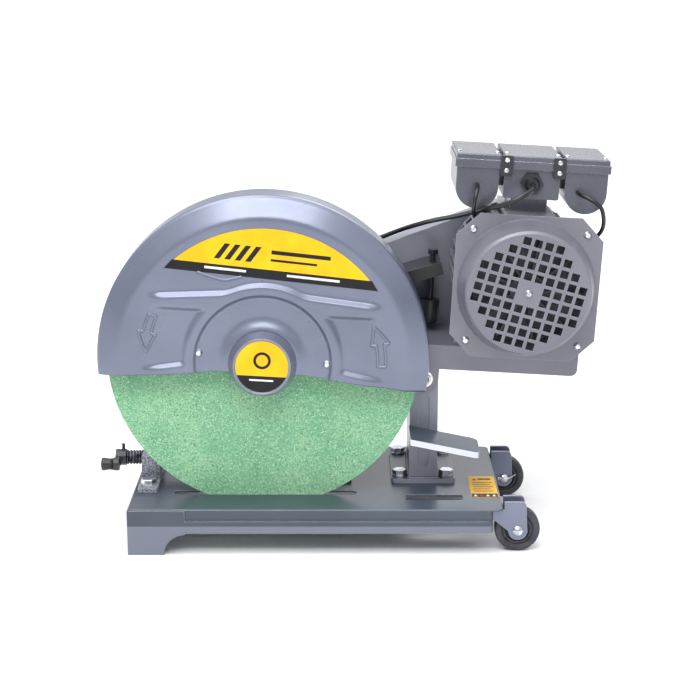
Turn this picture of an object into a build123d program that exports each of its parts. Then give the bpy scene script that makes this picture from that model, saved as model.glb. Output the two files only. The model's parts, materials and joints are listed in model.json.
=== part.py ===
from build123d import *
from math import asin, atan2, cos, degrees, hypot, pi, radians, sin, sqrt, tan
import os

# Abrasive chop saw: a motor behind the pivot turns a 400 mm cutting wheel through a belt.
# Millimetres. +X to the right of the person facing the guard, +Y away from them, +Z up.
# The origin is on the floor, under the middle of the saw.

os.makedirs("parts", exist_ok=True)

# ---- driving dimensions ----
WHEEL_R = 200.0          # 400 mm abrasive wheel
WHEEL_T = 3.2
WHEEL_BORE_R = 12.7

# base tray, a pressed sheet
BASE_X = -44.0           # middle of the tray
BASE_L = 478.0
BASE_W = 262.0
BASE_TOP = 60.0
TRAY_T = 3.0
UPPER_SKIRT = 15.0
LOWER_SKIRT = 16.0
SKIRT_STEP = 3.0         # the lower band stands out by this much
SKIRT_SETBACK = 13.0     # the tray's top runs past the right skirt by this much
BASE_CORNER = 8.0
FOOT_TOP_W = 73.0
FOOT_BOTTOM_W = 46.0
FOOT_TURN = 34.0         # how far the foot wraps round the end
FOOT_PAD = 22.0

# pivot and head
PIVOT_X = 97.0
PIVOT_Z = 204.0
TILT_DEG = 3.2           # the lowered head leans this much down to the right
TILT = radians(TILT_DEG)
SPINDLE_REACH = 209.0    # pivot to wheel along the head
SPINDLE_RISE = 28.0
MOTOR_REACH = 115.0      # pivot to motor along the head
MOTOR_RISE = 141.0

# depths of the main pieces
WHEEL_Y = -65.0
GUARD_FRONT_Y = -95.0
POST_FRONT_Y = -24.0
POST_D = 110.0

# post
POST_W = 37.0
POST_T = 3.0
FLANGE_T = 6.0
FLANGE_W = 84.0
FLANGE_D = 130.0
POST_BOLTS_X = 62.0
POST_BOLTS_Y = 96.0
LUG_R = 18.5
OPEN_TOP = 30.0          # the post's side walls stop this far under the pivot

# pivot pin and bushes
PIN_R = 8.0
PIN_BORE_R = 5.0
BUSH_R = 11.0
FIT = 0.05               # running clearance on a radius
CHEEK_GAP = 1.0          # between the post's cheeks and the arm

# arm channel
ARM_T = 4.0
ARM_LEFT = -122.0
ARM_RIGHT = 198.0
ARM_TOP = 46.0
ARM_FLANGE = 32.0
ARM_CORNER = 9.0

# M10, M8 and M6 fasteners
M10_R, M10_FLATS, M10_HEAD, M10_NUT = 5.0, 17.0, 6.4, 8.4
M10_HOLE_R = 5.5
WASHER_R, WASHER_T = 10.0, 2.0
M8_R, M8_FLATS, M8_HEAD = 4.0, 13.0, 5.3
M8_HOLE_R = 4.5
DOME_R, DOME_H, DOME_SHANK_R = 5.2, 3.4, 2.4
THREAD_GAP = 0.05

# wheel clamp and spindle
FLANGE_R = 41.0
CLAMP_T = 11.0
SPINDLE_R = 12.5
BEARING_R, BEARING_W = 26.0, 15.0
HOUSING_R = 33.0
HOUSING_LEN = 112.0
HOUSING_BORE_R = 20.0
BEARING_INSET = 2.0
HOUSING_FRONT_Y = -28.0
HOUSING_FLANGE_R = 52.0
HOUSING_FLANGE_T = 6.0
NUT_FLATS = 30.0
NUT_T = 12.0

# guard
GUARD_R = 211.0
GUARD_FACE_R = 184.0
GUARD_BEVEL = 14.0
GUARD_T = 2.0
GUARD_EDGE_IN = 12.7     # lower edge under the spindle centre, beside the hub
GUARD_EDGE_OUT = 31.0    # and at the rim
RIB_H = 4.5
ARCH_R = 99.0
ARCH_W = 13.0
HUB_BASE_R = 44.5
HUB_FACE_R = 36.0
HUB_H = 22.0
LABEL_T = 0.5
HUB_LABEL_R = 33.5
GUARD_LABEL_R = 166.0
GUARD_LABEL_LOW = 88.0

# belt drive
MOTOR_PULLEY_R = 50.0
SPINDLE_PULLEY_R = 40.0
PULLEY_W = 20.0
BELT_Y = 116.0
BELT_TOP_W = 12.6
BELT_BOTTOM_W = 8.0
BELT_H = 8.0
BELT_PLATE_Y = 96.0
BELT_PLATE_T = 2.0
COLLAR_BORE_R = 24.0
COVER_BACK_Y = 139.0
COVER_R_MOTOR = 79.0
COVER_R_SPINDLE = 54.0
COVER_T = 2.0

# motor
STATOR_BACK_Y = 66.0
FRAME_R = 79.0
FRAME_BORE_R = 71.0
FIN_R = 88.0
FIN_T = 3.0
FIN_COUNT = 40
CORE_BORE_R = 46.5
ROTOR_R = 46.0
CORE_LEN = 96.0
SHIELD_T = 8.0
FAN_PLATE_Y = -90.0
FAN_PLATE_T = 3.0
FAN_PLATE = 183.0
FAN_PLATE_CUT = 28.0
FAN_SCREWS = 142.0
DRUM_BASE_R = 87.0
DRUM_R = 78.0
DRUM_H = 34.0
DRUM_T = 1.6
GRILLE_PITCH = 14.0
GRILLE_HOLE = 10.0
GRILLE_TURN = -12.5
GRILLE_REACH = 4.85      # in pitches, how far the holes go from the centre
FAN_R = 68.0
FAN_BLADES = 9

# terminal box, pods and lids
BOX_W = 70.0
BOX_BOTTOM = 248.0
LID_BOTTOM = 285.0
LID_TOP = 302.0
BOX_FRONT_Y = -58.0
BOX_BACK_Y = 46.0
BOX_T = 2.5
POD_W = 53.0
POD_OUT = 68.0           # pod centre from the motor centre
POD_BOTTOM = 233.0
POD_FRONT_Y = -60.0
POD_BACK_Y = 50.0
LID_RIM = 3.0

# cords held at both ends
CORD_R = 3.2
LEAD_R = 2.6
LEAD_BOSS_R = 5.0
LEAD_SEAT_R = 94.0       # the bosses' faces, from the motor's axis
LEAD_END_Y = -73.0
LEAD_TURNS = (130.0, 38.0)

# vise
SCREW_Y = 10.0
SCREW_RISE = 24.0        # screw axis above the tray
SCREW_R = 9.8
THREAD_PITCH = 4.0
THREAD_DEPTH = 1.4
VISE_X = -264.0
VISE_BODY_W = 24.0
JAW_X = -62.0            # clamping face of the moving jaw
JAW_T = 14.0
JAW_W = 112.0
JAW_H = 46.0
JAW_LIFT = 0.5           # the jaw glides this far above the tray
FENCE_X = -36.0          # clamping face of the fence
FENCE_T = 8.0
FENCE_H = 50.0
FENCE_FOOT = 30.0
FENCE_Y = 32.0

# casters
CASTER_OVERHANG = 19.0    # the axles stand this far beyond the end of the tray
CASTER_R = 29.0
CASTER_W = 18.0
CASTER_YS = (-111.0, 96.0)
HUB_R = 19.0
EAR_T = 4.0
EAR_GAP = 1.0
EAR_TOP = 8.0            # ears rise this far above the tray
EAR_TIP_R = 12.0

# slots in the tray
SLOT_L = 238.0
SLOT_W = 16.0
REAR_SLOT_X, REAR_SLOT_Y = 109.0, -84.0
REAR_SLOT_L, REAR_SLOT_W = 74.0, 20.0

# ---- values worked out from them ----
BASE_LEFT = BASE_X - BASE_L / 2
BASE_RIGHT = BASE_X + BASE_L / 2
CASTER_X = BASE_RIGHT + CASTER_OVERHANG
SKIRT_RIGHT = BASE_RIGHT - SKIRT_SETBACK
SKIRT_L = SKIRT_RIGHT - BASE_LEFT
SKIRT_X = (SKIRT_RIGHT + BASE_LEFT) / 2
POST_BACK_Y = POST_FRONT_Y + POST_D
POST_MID_Y = POST_FRONT_Y + POST_D / 2
FLANGE_MID_Y = POST_MID_Y + 5
ARM_FRONT_Y = POST_FRONT_Y - CHEEK_GAP - ARM_T
ARM_BACK_Y = POST_BACK_Y + CHEEK_GAP + ARM_T
SEAT_Z = BASE_TOP + FLANGE_T
SCREW_Z = BASE_TOP + SCREW_RISE
HOUSING_BACK_Y = HOUSING_FRONT_Y + HOUSING_LEN
GUARD_BACK_Y = HOUSING_FRONT_Y - HOUSING_FLANGE_T
STATOR_FRONT_Y = FAN_PLATE_Y + FAN_PLATE_T + SHIELD_T
DRUM_FRONT_Y = FAN_PLATE_Y - DRUM_H


def along_head(u, v):
    """X and Z of the point u along the head and v square to it, from the pivot."""
    return (PIVOT_X + u * cos(TILT) + v * sin(TILT), PIVOT_Z - u * sin(TILT) + v * cos(TILT))


def head(y, u=0.0, v=0.0):
    """Sketch plane of the head at depth y, facing the front, centred on the head's point u, v."""
    x, z = along_head(u, v)
    return Plane(origin=(x, y, z), x_dir=(cos(TILT), 0, -sin(TILT)), z_dir=(0, -1, 0))


def at_spindle(y):
    return head(y, -SPINDLE_REACH, SPINDLE_RISE)


def at_motor(y):
    return head(y, MOTOR_REACH, MOTOR_RISE)


def front(y):
    """Upright sketch plane at depth y, facing the front, with X and Z as its axes."""
    return Plane(origin=(0, y, 0), x_dir=(1, 0, 0), z_dir=(0, -1, 0))


def side(x):
    """Upright sketch plane across X, facing the right, with Y and Z as its axes."""
    return Plane(origin=(x, 0, 0), x_dir=(0, 1, 0), z_dir=(1, 0, 0))


SPINDLE_X, SPINDLE_Z = along_head(-SPINDLE_REACH, SPINDLE_RISE)
MOTOR_X, MOTOR_Z = along_head(MOTOR_REACH, MOTOR_RISE)


def half_section(x, z):
    """Plane for the half section of a piece turned about the Y line through x, z."""
    return Plane(origin=(x, 0, z))


def turn_axis(x, z):
    return Axis((x, 0, z), (0, 1, 0))


# ==== base ====
SLOT_X = SPINDLE_X
FENCE_BOLTS_X = FENCE_X + FENCE_T + FENCE_FOOT / 2
FENCE_BOLTS_Y = (FENCE_Y - 34, FENCE_Y + 34)
VISE_BOLTS_Y = (-50.0, 52.0)
post_spots = [
    (PIVOT_X + sx * POST_BOLTS_X / 2, FLANGE_MID_Y + sy * POST_BOLTS_Y / 2)
    for sx in (-1, 1)
    for sy in (-1, 1)
]
fence_spots = [(FENCE_BOLTS_X, y) for y in FENCE_BOLTS_Y]
vise_spots = [(VISE_X, y) for y in VISE_BOLTS_Y]
bolt_spots = post_spots + fence_spots + vise_spots

with BuildPart() as base_tray:
    with BuildSketch(Plane.XY.offset(BASE_TOP)):
        with Locations((BASE_X, 0)):
            RectangleRounded(BASE_L, BASE_W, BASE_CORNER)
    extrude(amount=-TRAY_T)
    with BuildSketch(Plane.XY.offset(BASE_TOP - TRAY_T)):
        with Locations((SKIRT_X, 0)):
            RectangleRounded(SKIRT_L, BASE_W, BASE_CORNER)
    extrude(amount=-(UPPER_SKIRT - TRAY_T))
    with BuildSketch(Plane.XY.offset(BASE_TOP - UPPER_SKIRT)):
        with Locations((SKIRT_X, 0)):
            RectangleRounded(SKIRT_L, BASE_W + 2 * SKIRT_STEP, BASE_CORNER)
    extrude(amount=-LOWER_SKIRT)
    chamfer(base_tray.faces().sort_by(Axis.Z)[-1].edges(), length=1.0)
    # the two left feet wrap round the corners, over the full height of the tray
    for way in (-1, 1):
        outer_y = way * (BASE_W / 2 + SKIRT_STEP)
        with BuildSketch(front(min(outer_y, outer_y - way * TRAY_T))):
            with BuildLine():
                Polyline(
                    (BASE_LEFT, BASE_TOP - 1),
                    (BASE_LEFT, 0),
                    (BASE_LEFT + FOOT_BOTTOM_W, 0),
                )
                CenterArc(
                    center=(BASE_LEFT + FOOT_TOP_W, 0),
                    radius=FOOT_TOP_W - FOOT_BOTTOM_W,
                    start_angle=90,
                    arc_size=90,
                )
                Polyline(
                    (BASE_LEFT + FOOT_TOP_W, FOOT_TOP_W - FOOT_BOTTOM_W),
                    (BASE_LEFT + FOOT_TOP_W, BASE_TOP - 1),
                    (BASE_LEFT, BASE_TOP - 1),
                )
            make_face()
        extrude(amount=-TRAY_T)
        with BuildSketch(Plane.XY):
            with Locations((BASE_LEFT + TRAY_T / 2, outer_y - way * FOOT_TURN / 2)):
                Rectangle(TRAY_T, FOOT_TURN)
            with Locations((BASE_LEFT + FOOT_BOTTOM_W / 2, outer_y - way * FOOT_PAD / 2)):
                Rectangle(FOOT_BOTTOM_W, FOOT_PAD)
        extrude(amount=TRAY_T)
        with BuildSketch(Plane.XY):
            with Locations((BASE_LEFT + TRAY_T / 2, outer_y - way * FOOT_TURN / 2)):
                Rectangle(TRAY_T, FOOT_TURN)
        extrude(amount=BASE_TOP - 1)
    # hollow underside
    with BuildSketch(Plane.XY.offset(BASE_TOP - TRAY_T)):
        with Locations((SKIRT_X, 0)):
            RectangleRounded(SKIRT_L - 2 * TRAY_T, BASE_W - 2 * TRAY_T, BASE_CORNER - TRAY_T)
    extrude(amount=-(BASE_TOP - 2 * TRAY_T), mode=Mode.SUBTRACT)
    # slots and bolt holes
    with BuildSketch(Plane.XY.offset(BASE_TOP)):
        with Locations((SLOT_X, WHEEL_Y)):
            SlotOverall(SLOT_L, SLOT_W)
        with Locations((REAR_SLOT_X, REAR_SLOT_Y)):
            RectangleRounded(REAR_SLOT_L, REAR_SLOT_W, 3)
        with Locations(*bolt_spots):
            Circle(M10_HOLE_R)
    extrude(amount=-TRAY_T, mode=Mode.SUBTRACT)

with BuildPart() as post_bracket:
    with BuildSketch(Plane.XY.offset(BASE_TOP)):
        with Locations((PIVOT_X, FLANGE_MID_Y)):
            RectangleRounded(FLANGE_W, FLANGE_D, 6)
        with Locations(*post_spots):
            Circle(M10_HOLE_R, mode=Mode.SUBTRACT)
    extrude(amount=FLANGE_T)
    with BuildSketch(front(POST_FRONT_Y)):
        with Locations((PIVOT_X, (SEAT_Z + PIVOT_Z) / 2)):
            Rectangle(POST_W, PIVOT_Z - SEAT_Z)
        with Locations((PIVOT_X, PIVOT_Z)):
            Circle(LUG_R)
    extrude(amount=-POST_D)
    with BuildSketch(front(POST_FRONT_Y + POST_T)):
        with Locations((PIVOT_X, (SEAT_Z + PIVOT_Z) / 2)):
            Rectangle(POST_W - 2 * POST_T, PIVOT_Z - SEAT_Z)
        with Locations((PIVOT_X, PIVOT_Z)):
            Rectangle(POST_W + 2, 2 * OPEN_TOP)
    extrude(amount=-(POST_D - 2 * POST_T), mode=Mode.SUBTRACT)
    # pressed groove down the front, and the pivot holes
    with BuildSketch(front(POST_FRONT_Y)):
        with Locations((PIVOT_X, (SEAT_Z + PIVOT_Z) / 2 - 4)):
            SlotOverall(PIVOT_Z - SEAT_Z - 40, 15, rotation=90)
    extrude(amount=-1.6, mode=Mode.SUBTRACT)
    with BuildSketch(front(POST_FRONT_Y)):
        with Locations((PIVOT_X, PIVOT_Z)):
            Circle(PIN_R)
    extrude(amount=-POST_D, mode=Mode.SUBTRACT)

with BuildPart() as base_washers:
    with BuildSketch(Plane.XY.offset(SEAT_Z)):
        with Locations(*bolt_spots):
            Circle(WASHER_R)
            Circle(M10_HOLE_R, mode=Mode.SUBTRACT)
    extrude(amount=WASHER_T)

NUT_TOP = BASE_TOP - TRAY_T
with BuildPart() as base_bolts:
    with BuildSketch(Plane.XY.offset(SEAT_Z + WASHER_T)):
        with Locations(*bolt_spots):
            RegularPolygon(M10_FLATS / 2, 6, major_radius=False)
    extrude(amount=M10_HEAD)
    chamfer(base_bolts.faces().filter_by(Axis.Z).group_by(Axis.Z)[-1].edges(), length=0.8)
    with BuildSketch(Plane.XY.offset(SEAT_Z + WASHER_T)):
        with Locations(*bolt_spots):
            Circle(M10_R)
    extrude(amount=-(SEAT_Z + WASHER_T - NUT_TOP + M10_NUT + 3))

with BuildPart() as base_nuts:
    with BuildSketch(Plane.XY.offset(NUT_TOP)):
        with Locations(*bolt_spots):
            RegularPolygon(M10_FLATS / 2, 6, major_radius=False)
            Circle(M10_R + THREAD_GAP, mode=Mode.SUBTRACT)
    extrude(amount=-M10_NUT)

# hollow pivot pin, pressed into the cheeks
PIN_FRONT_Y = ARM_FRONT_Y - 4
PIN_BACK_Y = ARM_BACK_Y + 3
with BuildPart() as pivot_shaft:
    with BuildSketch(front(PIN_FRONT_Y)):
        with Locations((PIVOT_X, PIVOT_Z)):
            Circle(PIN_R)
            Circle(PIN_BORE_R, mode=Mode.SUBTRACT)
    extrude(amount=-(PIN_BACK_Y - PIN_FRONT_Y))
    chamfer(pivot_shaft.faces().sort_by(Axis.Y)[0].edges(), length=0.8)

# sloped plate welded to the front of the post, above the sparks
DEFLECTOR_L, DEFLECTOR_D, DEFLECTOR_T = 90.0, 62.0, 8.0
DEFLECTOR_FALL = 11.6
DEFLECTOR_Z = 139.0      # upper left edge
with BuildPart() as spark_deflector:
    with BuildSketch(front(POST_FRONT_Y)):
        with BuildLine():
            fall = DEFLECTOR_L * tan(radians(DEFLECTOR_FALL))
            left_x = PIVOT_X - POST_W / 2 - 1
            Polyline(
                (left_x, DEFLECTOR_Z),
                (left_x + DEFLECTOR_L, DEFLECTOR_Z - fall),
                (left_x + DEFLECTOR_L, DEFLECTOR_Z - fall - DEFLECTOR_T),
                (left_x, DEFLECTOR_Z - DEFLECTOR_T),
                close=True,
            )
        make_face()
    extrude(amount=DEFLECTOR_D)
    fillet(spark_deflector.edges().filter_by(Axis.Z).sort_by(Axis.X)[-2:], radius=9)

with BuildPart() as caution_label:
    with BuildSketch(Plane.XY.offset(BASE_TOP)):
        with Locations((BASE_RIGHT - 20, -43)):
            RectangleRounded(35, 84, 3)
    extrude(amount=LABEL_T)

# fence: an angle whose face stands across the wheel, behind it
with BuildPart() as fixed_fence:
    with BuildSketch(Plane.XY.offset(BASE_TOP)):
        with Locations((FENCE_X + (FENCE_T + FENCE_FOOT) / 2, FENCE_Y)):
            RectangleRounded(FENCE_T + FENCE_FOOT, JAW_W, 3)
        with Locations(*fence_spots):
            Circle(M10_HOLE_R, mode=Mode.SUBTRACT)
    extrude(amount=FLANGE_T)
    with BuildSketch(Plane.XY.offset(BASE_TOP)):
        with Locations((FENCE_X + FENCE_T / 2, FENCE_Y)):
            Rectangle(FENCE_T, JAW_W)
    extrude(amount=FENCE_H)

# cast bracket that holds the vise screw
VISE_BOSS_R = 17.0
VISE_FOOT_D = 36.0
with BuildPart() as vise_bracket:
    with BuildSketch(side(VISE_X - VISE_BODY_W / 2)):
        with Locations((SCREW_Y, (BASE_TOP + SCREW_Z) / 2)):
            Rectangle(2 * VISE_BOSS_R, SCREW_Z - BASE_TOP)
        with Locations((SCREW_Y, SCREW_Z)):
            Circle(VISE_BOSS_R)
        with Locations((SCREW_Y - VISE_BOSS_R - 6, BASE_TOP + 18)):
            Rectangle(22, 36)
    extrude(amount=VISE_BODY_W)
    with BuildSketch(Plane.XY.offset(BASE_TOP)):
        with Locations((VISE_X, (VISE_BOLTS_Y[0] + VISE_BOLTS_Y[1]) / 2)):
            RectangleRounded(VISE_BODY_W + 2, VISE_BOLTS_Y[1] - VISE_BOLTS_Y[0] + VISE_FOOT_D, 3)
        with Locations(*vise_spots):
            Circle(M10_HOLE_R, mode=Mode.SUBTRACT)
    extrude(amount=FLANGE_T)
    with BuildSketch(side(VISE_X - VISE_BODY_W / 2)):
        with Locations((SCREW_Y, SCREW_Z)):
            Circle(SCREW_R + FIT)
    extrude(amount=VISE_BODY_W, mode=Mode.SUBTRACT)

# ==== vise ====
SCREW_LEFT = VISE_X - VISE_BODY_W / 2 - 24
JAW_BACK = JAW_X - JAW_T
SCREW_TIP = JAW_BACK + 9
with BuildPart() as moving_jaw:
    with BuildSketch(Plane.XY.offset(BASE_TOP + JAW_LIFT)):
        with Locations((JAW_X - JAW_T / 2, FENCE_Y)):
            RectangleRounded(JAW_T, JAW_W, 2.5)
    extrude(amount=JAW_H)
    with BuildSketch(Plane.XY.offset(BASE_TOP + JAW_LIFT)):
        with Locations((JAW_BACK - 8, SCREW_Y)):
            RectangleRounded(20, 40, 3)
    extrude(amount=SCREW_RISE + 14)
    with BuildSketch(side(SCREW_TIP)):
        with Locations((SCREW_Y, SCREW_Z)):
            Circle(7 + FIT)
    extrude(amount=-40, mode=Mode.SUBTRACT)

THREAD_LEN = JAW_BACK - 20 - SCREW_LEFT
with BuildPart() as vise_screw:
    with BuildSketch(Plane(origin=(0, SCREW_Y, SCREW_Z), x_dir=(1, 0, 0), z_dir=(0, -1, 0))):
        with BuildLine():
            ridge = []
            turns = int(THREAD_LEN / THREAD_PITCH)
            for turn in range(turns):
                x = SCREW_LEFT + turn * THREAD_PITCH
                ridge.append((x, SCREW_R - THREAD_DEPTH))
                ridge.append((x + THREAD_PITCH * 0.3, SCREW_R))
                ridge.append((x + THREAD_PITCH * 0.6, SCREW_R))
                ridge.append((x + THREAD_PITCH * 0.9, SCREW_R - THREAD_DEPTH))
            end_x = SCREW_LEFT + turns * THREAD_PITCH
            Polyline(
                (SCREW_LEFT, 0),
                *ridge,
                (end_x, SCREW_R - THREAD_DEPTH),
                (end_x, 7),
                (SCREW_TIP - 0.3, 7),
                (SCREW_TIP - 0.3, 0),
                close=True,
            )
        make_face()
    revolve(axis=Axis((0, SCREW_Y, SCREW_Z), (1, 0, 0)))

# crank on the left end of the screw, with its knob towards the front
HANDLE_R = 11.0
HANDLE_W = 14.0
KNOB_OFF = 24.0
KNOB_R = 8.8
with BuildPart() as vise_handle:
    with BuildSketch(side(SCREW_LEFT - HANDLE_W)):
        with Locations((SCREW_Y, SCREW_Z)):
            Circle(HANDLE_R)
    extrude(amount=HANDLE_W)
    with BuildSketch(side(SCREW_LEFT - HANDLE_W)):
        with Locations((SCREW_Y - KNOB_OFF / 2, SCREW_Z - 2)):
            Rectangle(KNOB_OFF, 13)
        with Locations((SCREW_Y - KNOB_OFF, SCREW_Z - 2)):
            Circle(KNOB_R)
    extrude(amount=7)
    with BuildSketch(Plane(origin=(SCREW_LEFT - 4, SCREW_Y, SCREW_Z))):
        Circle(2.2)
    extrude(amount=HANDLE_R + 8)

with BuildPart() as vise_knob:
    with BuildSketch(side(SCREW_LEFT - HANDLE_W)):
        with Locations((SCREW_Y - KNOB_OFF, SCREW_Z - 2)):
            Circle(KNOB_R)
    extrude(amount=-17)
    fillet(vise_knob.edges().sort_by(Axis.X)[0], radius=3)

# ==== casters ====
AXLE_R = 4.0
AXLE_HEAD_R = 6.8
BOSS_R, WEB_W, RIM_T = 9.0, 6.0, 3.0
EAR_STEP_X = BASE_RIGHT + 1.5  # the ears rise past the tray's edge here
WEB_BOTTOM = BASE_TOP - UPPER_SKIRT
ear_y = []
for wheel_y in CASTER_YS:
    ear_y.append(wheel_y - CASTER_W / 2 - EAR_GAP - EAR_T)
    ear_y.append(wheel_y + CASTER_W / 2 + EAR_GAP)

with BuildPart() as caster_brackets:
    for y in ear_y:
        with BuildSketch(front(y)):
            with BuildLine():
                Polyline(
                    (SKIRT_RIGHT, BASE_TOP - TRAY_T),
                    (EAR_STEP_X, BASE_TOP - TRAY_T),
                    (EAR_STEP_X, BASE_TOP + EAR_TOP),
                    (CASTER_X + EAR_TIP_R - 2, BASE_TOP + EAR_TOP),
                    (CASTER_X + EAR_TIP_R, CASTER_R),
                )
                ThreePointArc(
                    (CASTER_X + EAR_TIP_R, CASTER_R),
                    (CASTER_X, CASTER_R - EAR_TIP_R),
                    (CASTER_X - EAR_TIP_R, CASTER_R),
                )
                Polyline(
                    (CASTER_X - EAR_TIP_R, CASTER_R),
                    (SKIRT_RIGHT, WEB_BOTTOM),
                    (SKIRT_RIGHT, BASE_TOP - TRAY_T),
                )
            make_face()
            with Locations((CASTER_X, CASTER_R)):
                Circle(AXLE_R, mode=Mode.SUBTRACT)
        extrude(amount=-EAR_T)
    for wheel_y in CASTER_YS:
        web_d = CASTER_W + 2 * EAR_GAP + 2 * EAR_T
        with BuildSketch(Plane.XY.offset(WEB_BOTTOM)):
            with Locations((SKIRT_RIGHT + EAR_T / 2, wheel_y)):
                Rectangle(EAR_T, web_d)
        extrude(amount=BASE_TOP - TRAY_T - WEB_BOTTOM)
    fillet(caster_brackets.edges().filter_by(Axis.Y).group_by(Axis.Z)[-1].sort_by(Axis.X)[-4:], radius=6)

with BuildPart() as caster_bolts:
    for wheel_y in CASTER_YS:
        head_y = wheel_y - CASTER_W / 2 - EAR_GAP - EAR_T
        tail_y = wheel_y + CASTER_W / 2 + EAR_GAP + EAR_T
        with BuildSketch(half_section(CASTER_X, CASTER_R)):
            with BuildLine():
                Polyline((AXLE_HEAD_R, head_y), (0, head_y), (0, head_y - 4))
                ThreePointArc((0, head_y - 4), (AXLE_HEAD_R * 0.7, head_y - 2.6), (AXLE_HEAD_R, head_y))
            make_face()
        revolve(axis=turn_axis(CASTER_X, CASTER_R))
        with BuildSketch(half_section(CASTER_X, CASTER_R)):
            with Locations((AXLE_R / 2, (head_y + tail_y + 8) / 2)):
                Rectangle(AXLE_R, tail_y + 8 - head_y)
        revolve(axis=turn_axis(CASTER_X, CASTER_R))
        with BuildSketch(front(tail_y)):
            with Locations((CASTER_X, CASTER_R)):
                RegularPolygon(M8_FLATS / 2, 6, major_radius=False)
        extrude(amount=-6)


def caster_hub(wheel_y):
    """Nylon hub with a dished web, turned about the axle."""
    with BuildPart() as hub:
        with BuildSketch(half_section(CASTER_X, CASTER_R)):
            with Locations(((AXLE_R + FIT + BOSS_R) / 2, wheel_y)):
                Rectangle(BOSS_R - AXLE_R - FIT, CASTER_W)
            with Locations(((BOSS_R + HUB_R) / 2 - 1, wheel_y)):
                Rectangle(HUB_R - BOSS_R, WEB_W)
            with Locations((HUB_R - RIM_T / 2, wheel_y)):
                Rectangle(RIM_T, CASTER_W - 4)
        revolve(axis=turn_axis(CASTER_X, CASTER_R))
    return hub


def caster_tyre(wheel_y):
    """Solid rubber tyre with rounded shoulders."""
    with BuildPart() as tyre:
        with BuildSketch(half_section(CASTER_X, CASTER_R)):
            with Locations(((HUB_R + CASTER_R) / 2, wheel_y)):
                RectangleRounded(CASTER_R - HUB_R, CASTER_W, 3.5)
        revolve(axis=turn_axis(CASTER_X, CASTER_R))
    return tyre


caster_hub_front = caster_hub(CASTER_YS[0])
caster_hub_rear = caster_hub(CASTER_YS[1])
caster_tyre_front = caster_tyre(CASTER_YS[0])
caster_tyre_rear = caster_tyre(CASTER_YS[1])

# ==== head: arm and spindle housing ====
ARM_BOLTS_U = (ARM_LEFT + 16, ARM_LEFT + 42)
ARM_BOLTS_Y = (4.0, 58.0)
MOTOR_BOLTS_U = (MOTOR_REACH - 60, MOTOR_REACH + 60)
MOTOR_BOLTS_Y = (-6.0, 52.0)

with BuildPart() as arm_channel:
    with BuildSketch(head(ARM_FRONT_Y)):
        with Locations(((ARM_LEFT + ARM_RIGHT) / 2, ARM_TOP - ARM_FLANGE / 2)):
            Rectangle(ARM_RIGHT - ARM_LEFT, ARM_FLANGE)
        Circle(LUG_R)
        with Locations((0, ARM_TOP / 2)):
            Rectangle(2 * LUG_R, ARM_TOP)
    extrude(amount=-(ARM_BACK_Y - ARM_FRONT_Y))
    right_edges = arm_channel.edges().filter_by(Axis.Y).sort_by(Axis.X)[-2:]
    fillet(right_edges.sort_by(Axis.Z)[0], radius=ARM_CORNER)
    with BuildSketch(head(ARM_FRONT_Y + ARM_T)):
        with Locations(((ARM_LEFT + ARM_RIGHT) / 2, (ARM_TOP - ARM_T - 40) / 2)):
            Rectangle(ARM_RIGHT - ARM_LEFT + 2, ARM_TOP - ARM_T + 40)
    extrude(amount=-(ARM_BACK_Y - ARM_FRONT_Y - 2 * ARM_T), mode=Mode.SUBTRACT)
    with BuildSketch(head(ARM_FRONT_Y)):
        Circle(BUSH_R)
    extrude(amount=-(ARM_BACK_Y - ARM_FRONT_Y), mode=Mode.SUBTRACT)
    # bolt holes down through the top plate
    for u_set, y_set in ((ARM_BOLTS_U, ARM_BOLTS_Y), (MOTOR_BOLTS_U, MOTOR_BOLTS_Y)):
        for u in u_set:
            x, z = along_head(u, ARM_TOP)
            for y in y_set:
                with BuildSketch(Plane(origin=(x, y, z), x_dir=(0, 1, 0), z_dir=(sin(TILT), 0, cos(TILT)))):
                    Circle(M8_HOLE_R)
                extrude(amount=-ARM_T - 1, mode=Mode.SUBTRACT)

with BuildPart() as pivot_bushes:
    for y in (ARM_FRONT_Y - 1.5, ARM_BACK_Y - ARM_T):
        with BuildSketch(front(y)):
            with Locations((PIVOT_X, PIVOT_Z)):
                Circle(BUSH_R)
                Circle(PIN_R + FIT, mode=Mode.SUBTRACT)
        extrude(amount=-(ARM_T + 1.5))

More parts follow.
